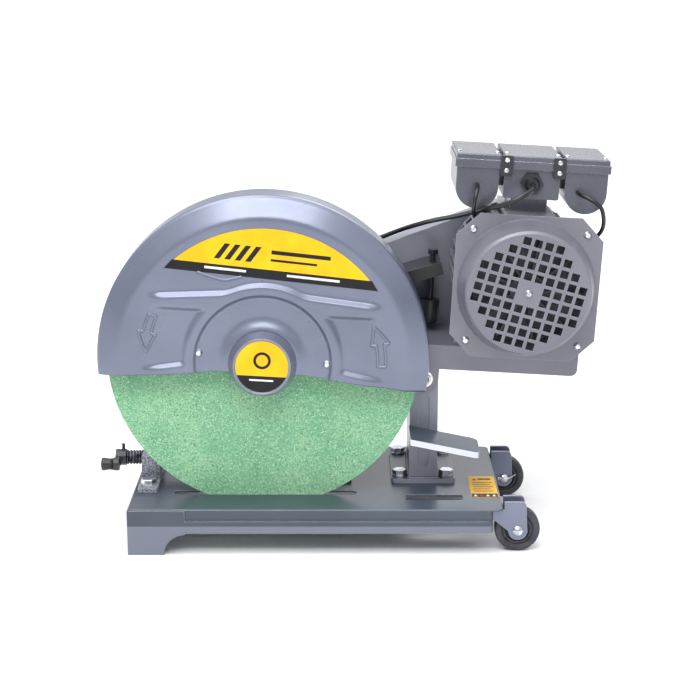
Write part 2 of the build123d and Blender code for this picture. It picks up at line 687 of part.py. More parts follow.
HOUSING_LUG_TOP = ARM_TOP - ARM_T
HOUSING_LUG_H = 38.0
HOUSING_LUG_END = ARM_LEFT + 58    # the lug reaches this far under the arm's top plate
LUG_POCKET_L, LUG_POCKET_H = 78.0, 28.0
LUG_POCKET_OFF = 22.0              # the pocket lies this far right of the lug's middle
LUG_WALL = 10.0
LUG_FRONT_Y = POST_FRONT_Y + 4
LUG_DEPTH = POST_D - 8
TAP_DEPTH = 18.0
with BuildPart() as spindle_housing:
    with BuildSketch(at_spindle(HOUSING_FRONT_Y)):
        Circle(HOUSING_R)
    extrude(amount=-HOUSING_LEN)
    with BuildSketch(at_spindle(HOUSING_FRONT_Y)):
        Circle(HOUSING_FLANGE_R)
    extrude(amount=HOUSING_FLANGE_T)
    # collar that the belt cover's plate is clamped to
    with BuildSketch(at_spindle(HOUSING_BACK_Y)):
        Circle(HOUSING_R)
        Circle(COLLAR_BORE_R, mode=Mode.SUBTRACT)
    extrude(amount=-(BELT_PLATE_Y - HOUSING_BACK_Y))
    lug_mid_u = (HOUSING_LUG_END - SPINDLE_REACH) / 2
    with BuildSketch(head(LUG_FRONT_Y)):
        with Locations((lug_mid_u, HOUSING_LUG_TOP - HOUSING_LUG_H / 2)):
            Rectangle(SPINDLE_REACH + HOUSING_LUG_END, HOUSING_LUG_H)
    extrude(amount=-LUG_DEPTH)
    # pocket under the lug
    with BuildSketch(head(LUG_FRONT_Y + LUG_WALL)):
        with Locations((lug_mid_u + LUG_POCKET_OFF, HOUSING_LUG_TOP - LUG_POCKET_H)):
            Rectangle(LUG_POCKET_L, LUG_POCKET_H)
    extrude(amount=-(LUG_DEPTH - 2 * LUG_WALL), mode=Mode.SUBTRACT)
    # through bore, and a bearing seat at each end
    with BuildSketch(at_spindle(HOUSING_FRONT_Y)):
        Circle(HOUSING_BORE_R)
    extrude(amount=-HOUSING_LEN, mode=Mode.SUBTRACT)
    with BuildSketch(at_spindle(HOUSING_FRONT_Y - HOUSING_FLANGE_T)):
        Circle(BEARING_R)
    extrude(amount=-(HOUSING_FLANGE_T + BEARING_INSET + BEARING_W), mode=Mode.SUBTRACT)
    with BuildSketch(at_spindle(HOUSING_BACK_Y - BEARING_W)):
        Circle(BEARING_R)
    extrude(amount=-BEARING_W, mode=Mode.SUBTRACT)
    # tapped holes for the arm's bolts
    for u in ARM_BOLTS_U:
        x, z = along_head(u, HOUSING_LUG_TOP)
        for y in ARM_BOLTS_Y:
            with BuildSketch(Plane(origin=(x, y, z), x_dir=(0, 1, 0), z_dir=(sin(TILT), 0, cos(TILT)))):
                Circle(M8_R + THREAD_GAP)
            extrude(amount=-TAP_DEPTH, mode=Mode.SUBTRACT)

MOTOR_FOOT_T = 7.0
with BuildPart() as head_bolts:
    for u_set, y_set, seat, grip in (
        (ARM_BOLTS_U, ARM_BOLTS_Y, ARM_TOP, ARM_T + 14),
        (MOTOR_BOLTS_U, MOTOR_BOLTS_Y, ARM_TOP + MOTOR_FOOT_T, MOTOR_FOOT_T + ARM_T + 9),
    ):
        for u in u_set:
            x, z = along_head(u, seat)
            for y in y_set:
                seat_plane = Plane(origin=(x, y, z), x_dir=(0, 1, 0), z_dir=(sin(TILT), 0, cos(TILT)))
                with BuildSketch(seat_plane):
                    RegularPolygon(M8_FLATS / 2, 6, major_radius=False)
                extrude(amount=M8_HEAD)
                with BuildSketch(seat_plane):
                    Circle(M8_R)
                extrude(amount=-grip)

# four 6205 bearings, two on the spindle and two in the motor
SPINDLE_BEARINGS_Y = (HOUSING_FRONT_Y + BEARING_INSET, HOUSING_BACK_Y - BEARING_W)
MOTOR_BEARINGS_Y = (STATOR_FRONT_Y - 6, STATOR_BACK_Y - 6)
with BuildPart() as ball_bearings:
    for (x, z), y_set in (
        ((SPINDLE_X, SPINDLE_Z), SPINDLE_BEARINGS_Y),
        ((MOTOR_X, MOTOR_Z), MOTOR_BEARINGS_Y),
    ):
        for y in y_set:
            with BuildSketch(half_section(x, z)):
                with Locations(((SPINDLE_R + FIT + BEARING_R) / 2, y + BEARING_W / 2)):
                    Rectangle(BEARING_R - SPINDLE_R - FIT, BEARING_W)
                with Locations(((SPINDLE_R + BEARING_R) / 2, y), ((SPINDLE_R + BEARING_R) / 2, y + BEARING_W)):
                    Rectangle(5, 3, mode=Mode.SUBTRACT)
            revolve(axis=turn_axis(x, z))


# ==== guard ====
def guard_side(radius):
    """Sketch the area above the guard's lower edge, out to the radius, round the spindle."""
    with BuildLine() as outline:
        rim_x = sqrt(radius**2 - GUARD_EDGE_OUT**2)
        Polyline(
            (-rim_x, -GUARD_EDGE_OUT),
            (-HUB_BASE_R, -GUARD_EDGE_IN),
            (HUB_BASE_R, -GUARD_EDGE_IN),
            (rim_x, -GUARD_EDGE_OUT),
        )
        ThreePointArc((rim_x, -GUARD_EDGE_OUT), (0, radius), (-rim_x, -GUARD_EDGE_OUT))
    make_face(outline.edges())


GUARD_SCREWS = ((-81.0, 8.0), (81.0, 2.0))
with BuildPart() as guard_front:
    with BuildSketch(at_spindle(GUARD_FRONT_Y)):
        guard_side(GUARD_R)
    extrude(amount=-(GUARD_BACK_Y - GUARD_FRONT_Y - GUARD_T))
    # bevel between the face and the rim
    with BuildSketch(half_section(SPINDLE_X, SPINDLE_Z)):
        with BuildLine():
            Polyline(
                (GUARD_FACE_R, GUARD_FRONT_Y),
                (GUARD_R + 1, GUARD_FRONT_Y + GUARD_BEVEL * (1 + 1 / (GUARD_R - GUARD_FACE_R))),
                (GUARD_R + 1, GUARD_FRONT_Y),
                close=True,
            )
        make_face()
    revolve(axis=turn_axis(SPINDLE_X, SPINDLE_Z), mode=Mode.SUBTRACT)
    # hollow inside, open below and behind
    with BuildSketch(half_section(SPINDLE_X, SPINDLE_Z)):
        with BuildLine():
            Polyline(
                (0, GUARD_FRONT_Y + GUARD_T),
                (GUARD_FACE_R - 1, GUARD_FRONT_Y + GUARD_T),
                (GUARD_R - GUARD_T, GUARD_FRONT_Y + GUARD_BEVEL + 1),
                (GUARD_R - GUARD_T, GUARD_BACK_Y),
                (0, GUARD_BACK_Y),
                close=True,
            )
        make_face()
    revolve(axis=turn_axis(SPINDLE_X, SPINDLE_Z), mode=Mode.SUBTRACT)
    # opening behind the hub cap
    with BuildSketch(at_spindle(GUARD_FRONT_Y)):
        Circle(HUB_BASE_R - 2)
    extrude(amount=-GUARD_T, mode=Mode.SUBTRACT)
    # pressed ribs: an arch over the hub, with a tapering wing on each side and a foot along the edge
    with BuildSketch(at_spindle(GUARD_FRONT_Y)):
        Circle(ARCH_R + ARCH_W / 2)
        for way in (-1, 1):
            with BuildLine():
                Polyline(
                    (way * (GUARD_FACE_R - 14), 62),
                    (way * 60, 88),
                    (way * 60, 58),
                    (way * (GUARD_FACE_R - 6), 50),
                    close=True,
                )
            make_face()
            with BuildLine():
                Polyline(
                    (way * (ARCH_R - 8), 8),
                    (way * (GUARD_FACE_R - 12), -14),
                    (way * (GUARD_FACE_R - 12), -24),
                    (way * (ARCH_R - 8), -12),
                    close=True,
                )
            make_face()
        Circle(ARCH_R - ARCH_W / 2, mode=Mode.SUBTRACT)
        with BuildLine():
            Polyline(
                (-GUARD_R, -GUARD_EDGE_OUT - 0.2),
                (-HUB_BASE_R, -GUARD_EDGE_IN),
                (HUB_BASE_R, -GUARD_EDGE_IN),
                (GUARD_R, -GUARD_EDGE_OUT - 0.2),
                (GUARD_R, -GUARD_R),
                (-GUARD_R, -GUARD_R),
                close=True,
            )
        make_face(mode=Mode.SUBTRACT)
    extrude(amount=RIB_H)
    # raised arrows that give the wheel's turn
    for way in (-1, 1):
        with BuildSketch(at_spindle(GUARD_FRONT_Y)):
            with Locations((way * 151, 18)):
                Rectangle(11, 26, rotation=way * 7)
            with Locations((way * 149, 18 + way * 20)):
                Triangle(a=26, b=18, c=18, rotation=0 if way > 0 else 180)
        extrude(amount=1.6)
    with BuildSketch(at_spindle(GUARD_FRONT_Y)):
        with Locations(*GUARD_SCREWS):
            Circle(DOME_SHANK_R + 0.3)
    extrude(amount=-GUARD_T, mode=Mode.SUBTRACT)

with BuildPart() as guard_back:
    with BuildSketch(at_spindle(GUARD_BACK_Y - GUARD_T)):
        guard_side(GUARD_R)
        Circle(FLANGE_R + 5, mode=Mode.SUBTRACT)
    extrude(amount=-GUARD_T)


def dome_screw(plane, spots, shank):
    """Domed screws standing out of a sketch plane, at the plane's spots."""
    with BuildSketch(plane) as heads:
        with Locations(*spots):
            Circle(DOME_R)
    extrude(heads.sketch, amount=DOME_H, taper=34)
    with BuildSketch(plane) as shanks:
        with Locations(*spots):
            Circle(DOME_SHANK_R)
    extrude(shanks.sketch, amount=-shank)


with BuildPart() as guard_screws:
    dome_screw(at_spindle(GUARD_FRONT_Y), GUARD_SCREWS, 14)

# hub cap: a cup over the spindle nut, its flat front recessed for a label
HUB_T = 1.5
HUB_FRONT_Y = GUARD_FRONT_Y - HUB_H
with BuildPart() as hub_cap:
    with BuildSketch(half_section(SPINDLE_X, SPINDLE_Z)):
        with BuildLine():
            Polyline(
                (0, HUB_FRONT_Y + 1),
                (HUB_LABEL_R + 0.5, HUB_FRONT_Y + 1),
                (HUB_LABEL_R + 1, HUB_FRONT_Y),
                (HUB_FACE_R, HUB_FRONT_Y),
                (HUB_BASE_R, GUARD_FRONT_Y),
                (HUB_BASE_R - HUB_T, GUARD_FRONT_Y),
                (HUB_FACE_R - HUB_T, HUB_FRONT_Y + 1 + HUB_T),
                (0, HUB_FRONT_Y + 1 + HUB_T),
                close=True,
            )
        make_face()
    revolve(axis=turn_axis(SPINDLE_X, SPINDLE_Z))

with BuildPart() as guard_labels:
    with BuildSketch(at_spindle(HUB_FRONT_Y + 1)):
        Circle(HUB_LABEL_R)
    extrude(amount=LABEL_T)
    with BuildSketch(at_spindle(GUARD_FRONT_Y)):
        with BuildLine():
            low = GUARD_LABEL_LOW + 18
            reach = sqrt(GUARD_LABEL_R**2 - low**2)
            Line((-reach, low), (reach, low))
            ThreePointArc((reach, low), (0, GUARD_LABEL_R), (-reach, low))
        make_face()
    extrude(amount=LABEL_T)

# ==== spindle and wheel ====
CLAMP_FACE = WHEEL_T / 2
with BuildPart() as clamp_flanges:
    for way in (-1, 1):
        near = WHEEL_Y + way * CLAMP_FACE
        with BuildSketch(half_section(SPINDLE_X, SPINDLE_Z)):
            with BuildLine():
                Polyline(
                    (SPINDLE_R, near + way * 0.6),
                    (FLANGE_R - 12, near + way * 0.6),
                    (FLANGE_R - 11, near),
                    (FLANGE_R, near),
                    (FLANGE_R, near + way * 4),
                    (22, near + way * CLAMP_T),
                    (SPINDLE_R, near + way * CLAMP_T),
                    close=True,
                )
            make_face()
        revolve(axis=turn_axis(SPINDLE_X, SPINDLE_Z))

with BuildPart() as abrasive_disc:
    with BuildSketch(at_spindle(WHEEL_Y - CLAMP_FACE)):
        Circle(WHEEL_R)
        Circle(WHEEL_BORE_R, mode=Mode.SUBTRACT)
    extrude(amount=-WHEEL_T)

SPINDLE_FRONT_Y = WHEEL_Y - CLAMP_FACE - CLAMP_T - NUT_T - 3
SPINDLE_BACK_Y = BELT_Y + PULLEY_W / 2 + 4
with BuildPart() as spindle:
    with BuildSketch(half_section(SPINDLE_X, SPINDLE_Z)):
        with Locations((SPINDLE_R / 2, (SPINDLE_FRONT_Y + SPINDLE_BACK_Y) / 2)):
            Rectangle(SPINDLE_R, SPINDLE_BACK_Y - SPINDLE_FRONT_Y)
        shoulder = (SPINDLE_BEARINGS_Y[0] + BEARING_W, SPINDLE_BEARINGS_Y[1])
        with Locations((8, (shoulder[0] + shoulder[1]) / 2)):
            Rectangle(16, shoulder[1] - shoulder[0] - 1)
        collar = (WHEEL_Y + CLAMP_FACE + CLAMP_T, SPINDLE_BEARINGS_Y[0])
        with Locations((8, (collar[0] + collar[1]) / 2)):
            Rectangle(16, collar[1] - collar[0] - 1)
    revolve(axis=turn_axis(SPINDLE_X, SPINDLE_Z))
    chamfer(spindle.faces().sort_by(Axis.Y)[0].edges(), length=1.5)

with BuildPart() as spindle_nut:
    with BuildSketch(at_spindle(WHEEL_Y - CLAMP_FACE - CLAMP_T)):
        RegularPolygon(NUT_FLATS / 2, 6, major_radius=False)
        Circle(SPINDLE_R + THREAD_GAP, mode=Mode.SUBTRACT)
    extrude(amount=NUT_T)


def grooved_pulley(plane_xz, rim_r, bore_r):
    """V-belt pulley turned about its shaft, with its groove on the belt line."""
    x, z = plane_xz
    with BuildPart() as pulley:
        with BuildSketch(half_section(x, z)):
            with Locations(((bore_r + rim_r) / 2, BELT_Y)):
                Rectangle(rim_r - bore_r, PULLEY_W)
            with BuildLine():
                Polyline(
                    (rim_r + 1, BELT_Y - BELT_TOP_W / 2 - 1.2),
                    (rim_r - BELT_H - 1.4, BELT_Y - BELT_BOTTOM_W / 2 - 0.5),
                    (rim_r - BELT_H - 1.4, BELT_Y + BELT_BOTTOM_W / 2 + 0.5),
                    (rim_r + 1, BELT_Y + BELT_TOP_W / 2 + 1.2),
                    close=True,
                )
            make_face(mode=Mode.SUBTRACT)
        revolve(axis=turn_axis(x, z))
        rim = pulley.edges().filter_by(GeomType.CIRCLE).sort_by(SortBy.RADIUS)[-4:]
        chamfer(rim, length=0.6)
    return pulley


spindle_pulley = grooved_pulley((SPINDLE_X, SPINDLE_Z), SPINDLE_PULLEY_R + 2, SPINDLE_R)
motor_pulley = grooved_pulley((MOTOR_X, MOTOR_Z), MOTOR_PULLEY_R + 2, SPINDLE_R)

# belt: a trapezoid carried round both pulleys
BELT_SPAN = hypot(SPINDLE_REACH + MOTOR_REACH, MOTOR_RISE - SPINDLE_RISE)
BELT_LEAN = degrees(atan2(MOTOR_RISE - SPINDLE_RISE, SPINDLE_REACH + MOTOR_REACH))


def loop_lines(spindle_r, motor_r):
    """Arcs round both shafts and the straight sides between them, from the spindle's own plane."""
    lean = radians(BELT_LEAN)
    half = asin((motor_r - spindle_r) / BELT_SPAN)
    ex, ey = BELT_SPAN * cos(lean), BELT_SPAN * sin(lean)
    corners = []
    for way in (1, -1):
        angle = lean + way * (pi / 2 + half)
        corners.append((spindle_r * cos(angle), spindle_r * sin(angle)))
        corners.append((ex + motor_r * cos(angle), ey + motor_r * sin(angle)))
    far_end = (ex + motor_r * cos(lean), ey + motor_r * sin(lean))
    near_end = (-spindle_r * cos(lean), -spindle_r * sin(lean))
    Line(corners[0], corners[1])
    ThreePointArc(corners[1], far_end, corners[3])
    Line(corners[3], corners[2])
    ThreePointArc(corners[2], near_end, corners[0])


def loop_outline(spindle_r, motor_r):
    """The area inside such a loop."""
    with BuildLine() as outline:
        loop_lines(spindle_r, motor_r)
    make_face(outline.edges())


BELT_OUT = 0.8           # the belt's back stands out of the pulleys' pitch line
with BuildPart() as drive_belt:
    with BuildLine(at_spindle(BELT_Y)) as belt_path:
        loop_lines(SPINDLE_PULLEY_R, MOTOR_PULLEY_R)
    belt_wire = belt_path.wires()[0]
    with BuildSketch(Plane(origin=belt_wire @ 0, x_dir=(0, 1, 0), z_dir=belt_wire % 0)):
        with BuildLine():
            Polyline(
                (-BELT_TOP_W / 2, BELT_OUT),
                (BELT_TOP_W / 2, BELT_OUT),
                (BELT_BOTTOM_W / 2, BELT_OUT - BELT_H),
                (-BELT_BOTTOM_W / 2, BELT_OUT - BELT_H),
                close=True,
            )
        make_face()
    sweep(path=belt_wire)

# ==== belt cover ====
with BuildPart() as belt_cover_plate:
    with BuildSketch(at_spindle(BELT_PLATE_Y)):
        loop_outline(COVER_R_SPINDLE, COVER_R_MOTOR)
        with Locations((0, 0), (SPINDLE_REACH + MOTOR_REACH, MOTOR_RISE - SPINDLE_RISE)):
            Circle(COLLAR_BORE_R, mode=Mode.SUBTRACT)
    extrude(amount=-BELT_PLATE_T)

COVER_FRONT_Y = BELT_PLATE_Y + BELT_PLATE_T
with BuildPart() as belt_cover:
    with BuildSketch(at_spindle(COVER_FRONT_Y)):
        loop_outline(COVER_R_SPINDLE, COVER_R_MOTOR)
    extrude(amount=-(COVER_BACK_Y - COVER_FRONT_Y))
    fillet(belt_cover.faces().sort_by(Axis.Y)[-1].edges(), radius=6)
    with BuildSketch(at_spindle(COVER_FRONT_Y)):
        loop_outline(COVER_R_SPINDLE - COVER_T, COVER_R_MOTOR - COVER_T)
    extrude(amount=-(COVER_BACK_Y - COVER_FRONT_Y - COVER_T), mode=Mode.SUBTRACT)

# ==== motor ====
with BuildPart() as motor_housing:
    with BuildSketch(at_motor(STATOR_FRONT_Y)):
        Circle(FRAME_R)
        with PolarLocations((FRAME_R + FIN_R) / 2 - 1, FIN_COUNT):
            Rectangle(FIN_R - FRAME_R + 2, FIN_T)
        with Locations((0, 80)):
            Rectangle(60, 20)
    extrude(amount=-(STATOR_BACK_Y - STATOR_FRONT_Y))
    # bosses where the capacitors' leads enter
    for turn in LEAD_TURNS:
        lean = TILT - radians(turn)
        out = (cos(lean), 0, -sin(lean))
        with BuildSketch(Plane(origin=(MOTOR_X, LEAD_END_Y, MOTOR_Z), x_dir=(0, 1, 0), z_dir=out)):
            Circle(LEAD_BOSS_R)
        extrude(amount=LEAD_SEAT_R)
    # feet, wide at the arm and leaning in to the frame
    with BuildSketch(at_motor(MOTOR_BOLTS_Y[0] - 14)):
        foot_z = ARM_TOP - MOTOR_RISE
        with BuildLine():
            Polyline(
                (-80, foot_z),
                (80, foot_z),
                (80, foot_z + MOTOR_FOOT_T),
                (70, foot_z + MOTOR_FOOT_T + 2),
                (50, foot_z + 34),
                (-50, foot_z + 34),
                (-70, foot_z + MOTOR_FOOT_T + 2),
                (-80, foot_z + MOTOR_FOOT_T),
                close=True,
            )
        make_face()
    extrude(amount=-(MOTOR_BOLTS_Y[1] - MOTOR_BOLTS_Y[0] + 28))
    with BuildSketch(at_motor(STATOR_FRONT_Y)):
        Circle(FRAME_BORE_R)
    extrude(amount=-(STATOR_BACK_Y - STATOR_FRONT_Y), mode=Mode.SUBTRACT)
    for u in MOTOR_BOLTS_U:
        for y in MOTOR_BOLTS_Y:
            x, z = along_head(u, ARM_TOP)
            up = Plane(origin=(x, y, z), x_dir=(0, 1, 0), z_dir=(sin(TILT), 0, cos(TILT)))
            with BuildSketch(up):
                Circle(M8_HOLE_R)
            extrude(amount=MOTOR_FOOT_T + 1, mode=Mode.SUBTRACT)
            # spot face that lets the bolt head sit beside the frame
            with BuildSketch(up.offset(MOTOR_FOOT_T)):
                Circle(M8_FLATS * 0.62)
            extrude(amount=16, mode=Mode.SUBTRACT)

fan_screw_spots = [
    (sx * FAN_SCREWS / 2, sy * FAN_SCREWS / 2) for sx in (-1, 1) for sy in (-1, 1)
]
LUG_REACH = FAN_SCREWS / sqrt(2)
LUG_W = 14.0
with BuildPart() as end_shields:
    for seat_y, flange_y in (
        (MOTOR_BEARINGS_Y[0], STATOR_FRONT_Y - SHIELD_T),
        (MOTOR_BEARINGS_Y[1], STATOR_BACK_Y),
    ):
        with BuildSketch(at_motor(flange_y)):
            Circle(FIN_R - 2)
        extrude(amount=-SHIELD_T)
        with BuildSketch(at_motor(min(seat_y, flange_y))):
            Circle(BEARING_R + 5)
        extrude(amount=-(max(seat_y + BEARING_W, flange_y + SHIELD_T) - min(seat_y, flange_y)))
        with BuildSketch(at_motor(seat_y)):
            Circle(BEARING_R)
        extrude(amount=-BEARING_W, mode=Mode.SUBTRACT)
        with BuildSketch(at_motor(min(seat_y, flange_y))):
            Circle(SPINDLE_R + 3)
        extrude(amount=-(BEARING_W + SHIELD_T), mode=Mode.SUBTRACT)
    # corner lugs that take the fan cover's screws
    with BuildSketch(at_motor(STATOR_FRONT_Y - SHIELD_T)):
        with PolarLocations((FIN_R + LUG_REACH) / 2 - 4, 4, start_angle=45):
            Rectangle(LUG_REACH - FIN_R + 12, LUG_W)
        with Locations(*fan_screw_spots):
            Circle(LUG_W / 2)
            Circle(DOME_SHANK_R + THREAD_GAP, mode=Mode.SUBTRACT)
    extrude(amount=-SHIELD_T)
    # collar round the shaft that the belt cover's plate is clamped to
    rear_boss_y = MOTOR_BEARINGS_Y[1] + BEARING_W
    with BuildSketch(at_motor(rear_boss_y)):
        Circle(BEARING_R + 5)
        Circle(COLLAR_BORE_R, mode=Mode.SUBTRACT)
    extrude(amount=-(BELT_PLATE_Y - rear_boss_y))

CORE_MID_Y = (STATOR_FRONT_Y + STATOR_BACK_Y) / 2
with BuildPart() as stator_core:
    with BuildSketch(at_motor(CORE_MID_Y - CORE_LEN / 2)):
        Circle(FRAME_BORE_R)
        Circle(CORE_BORE_R, mode=Mode.SUBTRACT)
    extrude(amount=-CORE_LEN)

with BuildPart() as rotor:
    with BuildSketch(half_section(MOTOR_X, MOTOR_Z)):
        shaft_front = FAN_PLATE_Y - 18
        with Locations((SPINDLE_R / 2, (shaft_front + SPINDLE_BACK_Y) / 2)):
            Rectangle(SPINDLE_R, SPINDLE_BACK_Y - shaft_front)
        with Locations((ROTOR_R / 2, CORE_MID_Y)):
            Rectangle(ROTOR_R, CORE_LEN)
    revolve(axis=turn_axis(MOTOR_X, MOTOR_Z))

FAN_BACK_Y = FAN_PLATE_Y - 2
FAN_W = 16.0
with BuildPart() as cooling_fan:
    with BuildSketch(at_motor(FAN_BACK_Y)):
        Circle(22)
        with PolarLocations((22 + FAN_R) / 2 - 1, FAN_BLADES):
            Rectangle(FAN_R - 20, 3)
        Circle(SPINDLE_R, mode=Mode.SUBTRACT)
    extrude(amount=FAN_W)
    with BuildSketch(at_motor(FAN_BACK_Y)):
        Circle(FAN_R)
        Circle(SPINDLE_R, mode=Mode.SUBTRACT)
    extrude(amount=2.5)

# fan cover: a square plate with cut corners and a drum with a grille of square holes
grille_holes = []
for i in range(-6, 6):
    for j in range(-6, 6):
        gx, gy = i + 0.5, j + 0.5
        if 1 < hypot(gx, gy) < GRILLE_REACH:
            turn = radians(GRILLE_TURN)
            px = GRILLE_PITCH * (gx * cos(turn) - gy * sin(turn))
            py = GRILLE_PITCH * (gx * sin(turn) + gy * cos(turn))
            grille_holes.append((px, py))
with BuildPart() as fan_cover:
    with BuildSketch(at_motor(FAN_PLATE_Y)):
        plate = Rectangle(FAN_PLATE, FAN_PLATE)
        chamfer(plate.vertices(), length=FAN_PLATE_CUT)
        with Locations(*fan_screw_spots):
            Circle(DOME_SHANK_R + 0.3, mode=Mode.SUBTRACT)
        Circle(DRUM_BASE_R - DRUM_T, mode=Mode.SUBTRACT)
    extrude(amount=-FAN_PLATE_T)
    with BuildSketch(half_section(MOTOR_X, MOTOR_Z)):
        with BuildLine():
            Polyline(
                (0, DRUM_FRONT_Y),
                (DRUM_R - 3, DRUM_FRONT_Y),
                (DRUM_R, DRUM_FRONT_Y + 3),
                (DRUM_BASE_R, FAN_PLATE_Y),
                (DRUM_BASE_R, FAN_PLATE_Y + FAN_PLATE_T),
                (DRUM_BASE_R - DRUM_T, FAN_PLATE_Y + FAN_PLATE_T),
                (DRUM_BASE_R - DRUM_T, FAN_PLATE_Y),
                (DRUM_R - DRUM_T, DRUM_FRONT_Y + 3.4),
                (DRUM_R - 3.4, DRUM_FRONT_Y + DRUM_T),
                (0, DRUM_FRONT_Y + DRUM_T),
                close=True,
            )
        make_face()
    revolve(axis=turn_axis(MOTOR_X, MOTOR_Z))
    with BuildSketch(at_motor(DRUM_FRONT_Y)):
        with Locations(*grille_holes):
            Rectangle(GRILLE_HOLE, GRILLE_HOLE, rotation=GRILLE_TURN)
        Circle(DOME_SHANK_R + THREAD_GAP)
    extrude(amount=-DRUM_T, mode=Mode.SUBTRACT)

# domed screws at the corners and the middle of the fan cover
with BuildPart() as cover_screws:
    dome_screw(at_motor(FAN_PLATE_Y), fan_screw_spots, 10)
    dome_screw(at_motor(DRUM_FRONT_Y), [(0, 0)], 2.5)

# ==== terminal box ====
POD_GAP = POD_OUT - POD_W / 2 - BOX_W / 2
with BuildPart() as terminal_box:
    with BuildSketch(head(BOX_FRONT_Y)):
        with Locations((MOTOR_REACH, (BOX_BOTTOM + LID_BOTTOM) / 2)):
            RectangleRounded(BOX_W, LID_BOTTOM - BOX_BOTTOM, 3)
    extrude(amount=-(BOX_BACK_Y - BOX_FRONT_Y))
    with BuildSketch(head(BOX_FRONT_Y + BOX_T)):
        with Locations((MOTOR_REACH, (BOX_BOTTOM + LID_BOTTOM) / 2 + BOX_T)):
            Rectangle(BOX_W - 2 * BOX_T, LID_BOTTOM - BOX_BOTTOM)
    extrude(amount=-(BOX_BACK_Y - BOX_FRONT_Y - 2 * BOX_T), mode=Mode.SUBTRACT)
    # neck down to the pad on the frame
    with BuildSketch(head(BOX_FRONT_Y + 16)):
        with Locations((MOTOR_REACH, (MOTOR_RISE + 90 + BOX_BOTTOM) / 2)):
            Rectangle(46, BOX_BOTTOM - MOTOR_RISE - 90)
    extrude(amount=-(BOX_BACK_Y - BOX_FRONT_Y - 32))
    # ears that carry the pods
    with BuildSketch(head(BOX_FRONT_Y + 30)):
        for way in (-1, 1):
            with Locations((MOTOR_REACH + way * (BOX_W / 2 + POD_GAP / 2), LID_BOTTOM - 16)):
                Rectangle(POD_GAP, 20)
    extrude(amount=-40)
    with BuildSketch(head(BOX_FRONT_Y)):
        with Locations((MOTOR_REACH, BOX_BOTTOM + 20)):
            Circle(7)
    extrude(amount=-BOX_T, mode=Mode.SUBTRACT)


def pod_outline(centre_u, shrink):
    """Front outline of a capacitor pod: straight sides over a round bottom."""
    radius = POD_W / 2 - shrink
    low = POD_BOTTOM + POD_W / 2
    with Locations((centre_u, low)):
        Circle(radius)
    with Locations((centre_u, (low + LID_BOTTOM) / 2)):
        Rectangle(2 * radius, LID_BOTTOM - low)
    with Locations((centre_u, LID_BOTTOM + radius)):
        Rectangle(2 * radius, 2 * radius, mode=Mode.SUBTRACT)


POD_US = (MOTOR_REACH - POD_OUT, MOTOR_REACH + POD_OUT)
with BuildPart() as capacitor_pods:
    with BuildSketch(head(POD_FRONT_Y)):
        for u in POD_US:
            pod_outline(u, 0)
    extrude(amount=-(POD_BACK_Y - POD_FRONT_Y))
    with BuildSketch(head(POD_FRONT_Y + BOX_T)):
        for u in POD_US:
            pod_outline(u, BOX_T)
    extrude(amount=-(POD_BACK_Y - POD_FRONT_Y - 2 * BOX_T), mode=Mode.SUBTRACT)

with BuildPart() as capacitors:
    with BuildSketch(head(POD_FRONT_Y + 10)):
        for u in POD_US:
            with Locations((u, POD_BOTTOM + POD_W / 2 + 1)):
                Circle(POD_W / 2 - BOX_T - 1.5)
    extrude(amount=-(POD_BACK_Y - POD_FRONT_Y - 20))

lid_spans = [
    (POD_US[0], POD_W + 2 * LID_RIM),
    (MOTOR_REACH, BOX_W + 2 * LID_RIM),
    (POD_US[1], POD_W + 2 * LID_RIM),
]
with BuildPart() as box_lids:
    for u, width in lid_spans:
        lid_front = POD_FRONT_Y - LID_RIM
        lid_d = POD_BACK_Y - POD_FRONT_Y + 2 * LID_RIM
        with BuildSketch(head(lid_front)):
            with Locations((u, LID_BOTTOM + 5)):
                Rectangle(width - 1, 10)
        extrude(amount=-lid_d)
        with BuildSketch(head(lid_front + 1.5)):
            with Locations((u, (LID_BOTTOM + LID_TOP) / 2 + 2)):
                Rectangle(width - 4, LID_TOP - LID_BOTTOM - 4)
        extrude(amount=-(lid_d - 3))
    crown = box_lids.faces().sort_by(lambda f: f.center().X * sin(TILT) + f.center().Z * cos(TILT))[-3:]
    chamfer(crown.edges(), length=1.2)

GLAND_V = BOX_BOTTOM + 20
with BuildPart() as cable_gland:
    with BuildSketch(head(BOX_FRONT_Y, MOTOR_REACH, GLAND_V)):
        RegularPolygon(12.5, 6, major_radius=False)
    extrude(amount=8)
    with BuildSketch(head(BOX_FRONT_Y - 8, MOTOR_REACH, GLAND_V)):
        Circle(9.5)
    extrude(amount=9, taper=18)
    with BuildSketch(head(BOX_FRONT_Y, MOTOR_REACH, GLAND_V)):
        Circle(6.9)
    extrude(amount=-8)


# ==== cords, held at both ends ====
def route_point(u, y, v):
    x, z = along_head(u, v)
    return Vector(x, y, z)


def corner_radii(points):
    """The largest arc that each corner's two runs leave room for."""
    radii = []
    for before, here, after in zip(points, points[1:], points[2:]):
        run_in, run_out = here - before, after - here
        half_turn = radians(run_in.get_angle(run_out)) / 2
        radii.append(0.45 * min(run_in.length, run_out.length) / tan(half_turn))
    return radii


def cord(points, radius, title):
    """Round cord along straight runs joined by tangent arcs."""
    radii = corner_radii(points)
    print(title, "radii", [round(r, 1) for r in radii])
    with BuildPart() as tube:
        with BuildLine() as route:
            FilletPolyline(*points, radius=radii)
        with BuildSketch(Plane(origin=points[0], z_dir=(points[1] - points[0]).normalized())):
            Circle(radius)
        sweep(path=route.wires()[0])
    length = route.wires()[0].length
    print(title, "length", round(length, 1), "volume", round(tube.part.volume / (pi * radius**2 * length), 4))
    return tube


